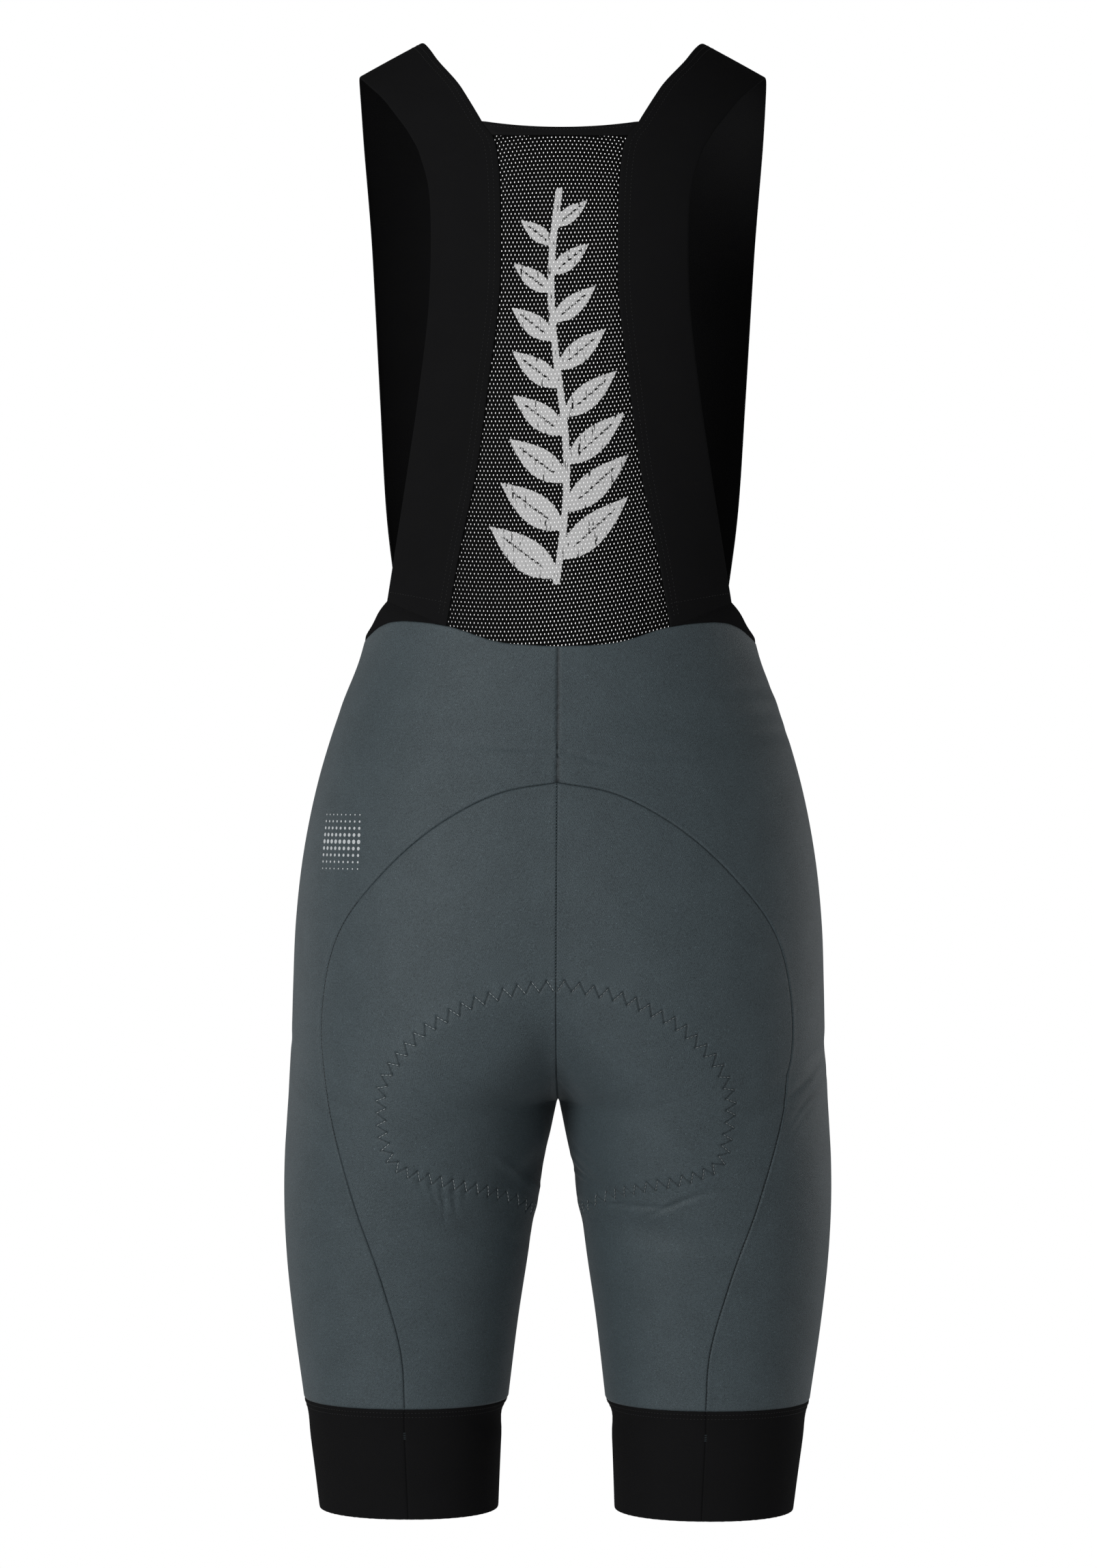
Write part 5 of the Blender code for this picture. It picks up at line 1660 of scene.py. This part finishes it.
def slate_knit(turn, dots=None):
    name = "slate_knit_%d" % round(turn) + ("_dotted" if dots else "")
    if bpy.data.materials.get(name):
        return bpy.data.materials[name]
    made, w, shader = new_material(name)
    look = settings().cloth
    weave = weave_of(w, turn)
    values = {"Weave": weave, "Place": place_of(w), "Rib": 0.5, "Loops": 0.3}
    values.update({"Grain": 6.2, "Grain size": 1.55})
    knit = placed(w, knit_group(), values)
    flecks = placed(w, fleck_group(), {"Weave": weave, "Density": 0.42, "Rarity": 0.72})
    cloth = tinted(w, knit["Tone"], look.shorts_colour, SLATE_SPREAD)
    speck = w.times(flecks["Mask"], look.fleck_strength)
    cloth = w.mixed(speck, cloth, shaded(look.shorts_colour, FLECK_LIGHTER))
    height = knit["Height"]
    if dots:
        values = {"Weave": weave_of(w), "Round": dots.round, "Height": dots.z, "Pitch": dots.pitch}
        values.update({"Columns": float(dots.columns), "Rows": float(dots.rows), "Size": dots.size})
        dot = placed(w, dot_group(), values)["Mask"]
        cloth = w.mixed(dot, cloth, shaded(look.dot_colour, 1.0))
        height = w.plus(height, w.times(dot, DOT_RISE))
    # Painted shade: the groove layer darkens the seams' grooves and the zigzag's furrow towards a dark
    # slate.
    dark = w.times(mark_of(w, GROOVE_SHADE_LAYER), look.painted_groove_shade, clamp=True)
    w.feed(shader, "Base Color", w.mixed(dark, cloth, shaded(look.shorts_colour, GROOVE_SHADE_COLOUR)))
    set_finish(shader, 0.58, 0.26, look.sheen, 0.35, SLATE_SHEEN_TINT)
    w.feed(shader, "Roughness", w.range(knit["Tone"], -1.0, 1.0, 0.66, 0.5))
    bump(w, shader, height, 0.05)
    return made


PLAIN_CLOTHS = table(
    "name colour rib loops grain wale_pitch roughness specular bump",
    ("strap_jersey", "strap_colour", 0.2, 0.6, 1.0, 1.1, 0.8, 0.01, 0.1),
    ("binding_elastic", "strap_colour", 0.1, 0.3, 0.8, 0.7, 0.6, 0.02, 0.08),
    ("band_elastic", "strap_colour", 0.1, 0.8, 0.8, 1.0, 0.75, 0.015, 0.1),
    ("pad_microfibre", "pad_colour", 0.0, 0.3, 1.6, 1.6, 0.85, 0.2, 0.15),
)


def plain_cloth(name):
    """A dark cloth of one colour, by its name in the table."""
    if bpy.data.materials.get(name):
        return bpy.data.materials[name]
    finish = next(row for row in PLAIN_CLOTHS if row.name == name)
    made, w, shader = new_material(name)
    values = {"Weave": weave_of(w), "Place": place_of(w), "Rib": finish.rib, "Loops": finish.loops}
    values.update({"Grain": finish.grain, "Wale pitch": finish.wale_pitch})
    knit = placed(w, knit_group(), values)
    colour = getattr(settings().cloth, finish.colour)
    w.feed(shader, "Base Color", tinted(w, knit["Tone"], colour, BLACK_SPREAD))
    set_finish(shader, finish.roughness, finish.specular, 0.0, 0.4)
    dull, bright = finish.roughness + GLOSS_SPREAD, finish.roughness - GLOSS_SPREAD
    w.feed(shader, "Roughness", w.range(knit["Tone"], -1.0, 1.0, dull, bright))
    bump(w, shader, knit["Height"], finish.bump)
    return made


def printed_net():
    made, w, shader = new_material("printed_net")
    look = settings().cloth
    weave = weave_of(w)
    values = {"Weave": weave, "Place": place_of(w), "Rib": 0.3, "Loops": 0.8, "Wale pitch": 0.55}
    knit = placed(w, knit_group(), values)
    cloth = tinted(w, knit["Tone"], look.net_colour, BLACK_SPREAD)
    ragged = w.times(w.minus(w.noise(weave, INK_RAGGED_SCALE, 3.0, 0.6), 0.5), INK_RAGGED)
    inked = w.range(w.plus(mark_of(w, PRINT_LAYER), ragged), *INK_EDGE, smooth=True)
    streaks = w.noise(w.mapped(weave, turn=STREAK_TURN, scale=STREAK_SCALE), 1.0, 3.0, 0.6)
    inked = w.times(inked, w.range(streaks, *STREAK_EDGE, smooth=True))
    ink = tinted(w, knit["Tone"], look.print_colour, INK_SPREAD)
    w.feed(shader, "Base Color", w.mixed(inked, cloth, ink))
    set_finish(shader, 0.62, 0.02, 0.0, 0.4)
    bump(w, shader, knit["Height"], 0.08)
    return made


THREADS = {
    # the setting that each thread's colour comes from, and how many times lighter it is. The pad's zigzag is
    # one thread in painted light and shade: a lit copy on the raised legs of the left half, a dimmer copy on
    # those of the right half, and the slate copy, painted shade, on its sunk legs, while the centre seam's
    # rope and the band's tack are slate thread. The darkest thread stands in for the shade in the arched
    # seam's needle holes.
    "pale_thread": ("thread_colour", 1.0),
    "soft_thread": ("thread_colour", 0.62),
    "slate_thread": ("shorts_colour", 1.1),
    "dark_thread": ("shorts_colour", 0.12),
    "black_thread": ("strap_colour", 1.8),
}


def thread(name):
    if bpy.data.materials.get(name):
        return bpy.data.materials[name]
    source, factor = THREADS[name]
    colour = [part * factor for part in getattr(settings().cloth, source)]
    made, w, shader = new_material(name)
    twist = w.noise(weave_of(w), THREAD_TWIST_SCALE, 2.0, 0.6)
    w.feed(shader, "Base Color", tinted(w, w.minus(twist, 0.5), colour, THREAD_SPREAD))
    set_finish(shader, 0.5, 0.25, 0.0, 0.4)
    bump(w, shader, twist, 0.05)
    return made


def floor_material():
    made, _, shader = new_material("pale_floor")
    shader.inputs["Base Color"].default_value = shaded(FLOOR_COLOUR, 1.0)
    shader.inputs["Roughness"].default_value = FLOOR_ROUGHNESS
    return made


# ---------------------------------------------------------------- the stage

def add_light(light):
    lamp = bpy.data.lights.new(light.name, "AREA")
    lamp.shape = "DISK"
    lamp.size = light.width
    lamp.energy = getattr(settings().studio, light.power) * light.times
    holder = bpy.data.objects.new(light.name, lamp)
    holder.location = light.place
    aim = Vector(light.target) - Vector(light.place)
    holder.rotation_euler = aim.to_track_quat("-Z", "Y").to_euler()
    bpy.context.scene.collection.objects.link(holder)


def make_stage():
    look = settings().studio
    scene = bpy.context.scene
    scene.view_settings.view_transform = "Standard"
    world = bpy.data.worlds.new("studio_air")
    world.use_nodes = True
    scene.world = world
    w = Wiring(world.node_tree)
    world.node_tree.nodes.clear()
    seen = w.node("ShaderNodeBackground", {"Color": (1.0, 1.0, 1.0, 1.0), "Strength": 1.0})
    air = w.node("ShaderNodeBackground", {"Color": (1.0, 1.0, 1.0, 1.0), "Strength": look.air})
    to_camera = w.node("ShaderNodeLightPath").outputs["Is Camera Ray"]
    mixed = w.node("ShaderNodeMixShader", {0: to_camera, 1: air.outputs[0], 2: seen.outputs[0]})
    out = w.node("ShaderNodeOutputWorld")
    world.node_tree.links.new(mixed.outputs[0], out.inputs["Surface"])

    mesh = bpy.data.meshes.new("studio_floor")
    bm = bmesh.new()
    bmesh.ops.create_circle(bm, cap_ends=True, radius=FLOOR_RADIUS, segments=FLOOR_EDGES)
    bm.to_mesh(mesh)
    bm.free()
    mesh.materials.append(floor_material())
    floor = bpy.data.objects.new("studio_floor", mesh)
    floor.location = (0.0, 0.0, FLOOR_Z)
    scene.collection.objects.link(floor)

    for light in LIGHTS:
        add_light(light)

    camera = bpy.data.cameras.new("camera")
    camera.type = "PERSP"
    camera.lens = look.lens
    camera.sensor_width = SENSOR
    holder = bpy.data.objects.new("camera", camera)
    place = Vector(CAMERA_PLACE)
    holder.location = place
    aim = Vector(CAMERA_TARGET) - place
    turn = aim.to_track_quat("-Z", "Y").to_matrix().to_4x4()
    roll = Vector((0.0, 0.0, 1.0))
    holder.rotation_mode = "QUATERNION"
    holder.rotation_quaternion = turn.to_quaternion() @ Quaternion(roll, math.radians(CAMERA_ROLL))
    scene.collection.objects.link(holder)
    scene.camera = holder


# ---------------------------------------------------------------- add-on

def colour_setting(name, description, default):
    """A colour that a user can pick."""
    return FloatVectorProperty(
        name=name, description=description, subtype="COLOR", size=3, min=0.0, max=1.0, default=default
    )


def size_setting(name, description, millimetres):
    """A size that a user can change, kept in metres."""
    return FloatProperty(
        name=name, description=description, unit="LENGTH", default=millimetres * MM, min=0.0, precision=5
    )


class BibShortsSizes(bpy.types.PropertyGroup):
    """Sizes of the cloth, the net and the sewing."""

    knit_wall: size_setting("Slate knit", "Thickness of the slate knit", 1.1)
    strap_wall: size_setting("Strap", "Thickness of the straps' knit", 1.0)
    band_wall: size_setting("Leg band", "Thickness of the elastic bands", 1.3)
    net_wall: size_setting("Net yarn", "Thickness of the net", 0.5)
    net_pitch: size_setting("Net pitch", "Distance between the net's holes in a row", 2.38)
    net_row: size_setting("Net rows", "Distance between the net's rows of holes", 2.54)
    net_hole_width: size_setting("Hole width", "Width of a hole in the net", 0.56)
    net_hole_height: size_setting("Hole height", "Height of a hole in the net", 1.28)
    zigzag_height: size_setting("Zigzag", "Height of the zigzag round the pad", 6.4)


class BibShortsCloth(bpy.types.PropertyGroup):
    """Colours and finish of the cloth and thread."""

    shorts_colour: colour_setting("Shorts", "Colour of the slate knit", (0.0375, 0.0515, 0.058))
    strap_colour: colour_setting("Black", "Colour of the straps, binding and bands", (0.0067, 0.0067, 0.007))
    net_colour: colour_setting("Net", "Colour of the back net's yarn", (0.003, 0.003, 0.003))
    print_colour: colour_setting("Print", "Colour of the sprig printed on the net", (0.43, 0.43, 0.43))
    dot_colour: colour_setting("Hip dots", "Colour of the dots on the left hip", (0.42, 0.44, 0.45))
    pad_colour: colour_setting("Pad", "Colour of the pad inside the seat", (0.03, 0.032, 0.035))
    thread_colour: colour_setting("Pad thread", "Colour of the pad's zigzag thread", (0.26, 0.29, 0.30))
    fleck_strength: FloatProperty(
        name="Flecks", description="How strongly the pale specks show", default=0.8, min=0.0, max=1.0
    )
    # How dark the shade painted into the seams' grooves is.
    painted_groove_shade: FloatProperty(
        name="Grooves", description="How dark the seams' grooves are", default=0.8, min=0.0, max=1.0
    )
    sheen: FloatProperty(name="Sheen", description="Sheen of the slate knit", default=0.06, min=0.0, max=1.0)


class BibShortsStudio(bpy.types.PropertyGroup):
    """Light and camera of the studio."""

    air: FloatProperty(name="Air", description="Strength of the light from all round", default=0.22, min=0.0)
    key_power: FloatProperty(name="Key", description="Power of the key light", unit="POWER", default=76.0)
    fill_power: FloatProperty(name="Fill", description="Power of the fill light", unit="POWER", default=10.0)
    rim_power: FloatProperty(name="Rims", description="Power of each rim light", unit="POWER", default=4.0)
    lens: FloatProperty(name="Lens", description="Focal length of the camera", unit="CAMERA", default=108.0)


class BibShortsSettings(bpy.types.PropertyGroup):
    """All settings of the bib shorts."""

    sizes: PointerProperty(name="Sizes", description="Sizes of the cloth and net", type=BibShortsSizes)
    cloth: PointerProperty(name="Cloth", description="Colours and finish of the cloth", type=BibShortsCloth)
    studio: PointerProperty(name="Studio", description="Light and camera", type=BibShortsStudio)


class BIBSHORTS_OT_outer_panels(bpy.types.Operator):
    """Make the slate panels of the upper back, hips and front"""

    bl_idname = "bibshorts.outer_panels"
    bl_label = "Outer Panels"

    def execute(self, context):
        lines = lines_of_shorts()
        for side in SIDES:
            make_outer_panel(side, lines)
        return {"FINISHED"}


class BIBSHORTS_OT_seat_panels(bpy.types.Operator):
    """Make the slate panels inside the arched seam"""

    bl_idname = "bibshorts.seat_panels"
    bl_label = "Seat Panels"

    def execute(self, context):
        lines = lines_of_shorts()
        for side in SIDES:
            make_seat_panel(side, lines)
        return {"FINISHED"}


class BIBSHORTS_OT_bib_sides(bpy.types.Operator):
    """Make the black rings of strap and waistband round the armholes"""

    bl_idname = "bibshorts.bib_sides"
    bl_label = "Bib Sides"

    def execute(self, context):
        for side in SIDES:
            make_bib_side(side)
        return {"FINISHED"}


class BIBSHORTS_OT_back_net(bpy.types.Operator):
    """Make the back net with its holes and print"""

    bl_idname = "bibshorts.back_net"
    bl_label = "Back Net"

    def execute(self, context):
        make_net()
        return {"FINISHED"}


class BIBSHORTS_OT_neck_binding(bpy.types.Operator):
    """Make the folded binding along the net's top edge"""

    bl_idname = "bibshorts.neck_binding"
    bl_label = "Neck Binding"

    def execute(self, context):
        make_binding()
        return {"FINISHED"}


class BIBSHORTS_OT_leg_grippers(bpy.types.Operator):
    """Make the elastic bands round the hems"""

    bl_idname = "bibshorts.leg_grippers"
    bl_label = "Leg Grippers"

    def execute(self, context):
        for side in SIDES:
            make_gripper(side)
        return {"FINISHED"}


class BIBSHORTS_OT_seat_pad(bpy.types.Operator):
    """Make the pad inside the seat"""

    bl_idname = "bibshorts.seat_pad"
    bl_label = "Seat Pad"

    def execute(self, context):
        make_pad()
        return {"FINISHED"}


class BIBSHORTS_OT_shorts_sewing(bpy.types.Operator):
    """Sew the pad's zigzag, the arched seam and the centre-back seam"""

    bl_idname = "bibshorts.shorts_sewing"
    bl_label = "Shorts Sewing"

    def execute(self, context):
        lines = lines_of_shorts()
        for side in SIDES:
            pad_stitching(side)
            arch_stitching(side, lines)
        centre_stitching()
        return {"FINISHED"}


class BIBSHORTS_OT_black_sewing(bpy.types.Operator):
    """Sew the rows on the straps, the neck binding and the leg bands"""

    bl_idname = "bibshorts.black_sewing"
    bl_label = "Strap and Hem Sewing"

    def execute(self, context):
        for side in SIDES:
            strap_stitching(side)
            hem_stitching(side)
        binding_stitching()
        return {"FINISHED"}


class BIBSHORTS_OT_stage(bpy.types.Operator):
    """Make the floor, the lights and the camera"""

    bl_idname = "bibshorts.stage"
    bl_label = "Stage"

    def execute(self, context):
        make_stage()
        return {"FINISHED"}


OPERATORS = (
    BIBSHORTS_OT_stage,
    BIBSHORTS_OT_outer_panels,
    BIBSHORTS_OT_seat_panels,
    BIBSHORTS_OT_bib_sides,
    BIBSHORTS_OT_back_net,
    BIBSHORTS_OT_neck_binding,
    BIBSHORTS_OT_leg_grippers,
    BIBSHORTS_OT_seat_pad,
    BIBSHORTS_OT_shorts_sewing,
    BIBSHORTS_OT_black_sewing,
)


class BIBSHORTS_PT_panel(bpy.types.Panel):
    """Lists the pieces of the bib shorts and their settings"""

    bl_idname = "BIBSHORTS_PT_panel"
    bl_label = "Bib Shorts"
    bl_space_type = "VIEW_3D"
    bl_region_type = "UI"
    bl_category = "Bib Shorts"

    def draw(self, context):
        look = context.scene.bib_shorts
        for part in (look.sizes, look.cloth, look.studio):
            for name in type(part).__annotations__:
                self.layout.prop(part, name)
        for operator in OPERATORS:
            self.layout.operator(operator.bl_idname)


CLASSES = (
    BibShortsSizes, BibShortsCloth, BibShortsStudio, BibShortsSettings, *OPERATORS, BIBSHORTS_PT_panel
)


def register():
    for cls in CLASSES:
        bpy.utils.register_class(cls)
    bpy.types.Scene.bib_shorts = PointerProperty(type=BibShortsSettings)


def unregister():
    del bpy.types.Scene.bib_shorts
    for cls in reversed(CLASSES):
        bpy.utils.unregister_class(cls)


def main():
    register()
    for operator in OPERATORS:
        family, action = operator.bl_idname.split(".")
        getattr(getattr(bpy.ops, family), action)()


if __name__ == "__main__":
    main()
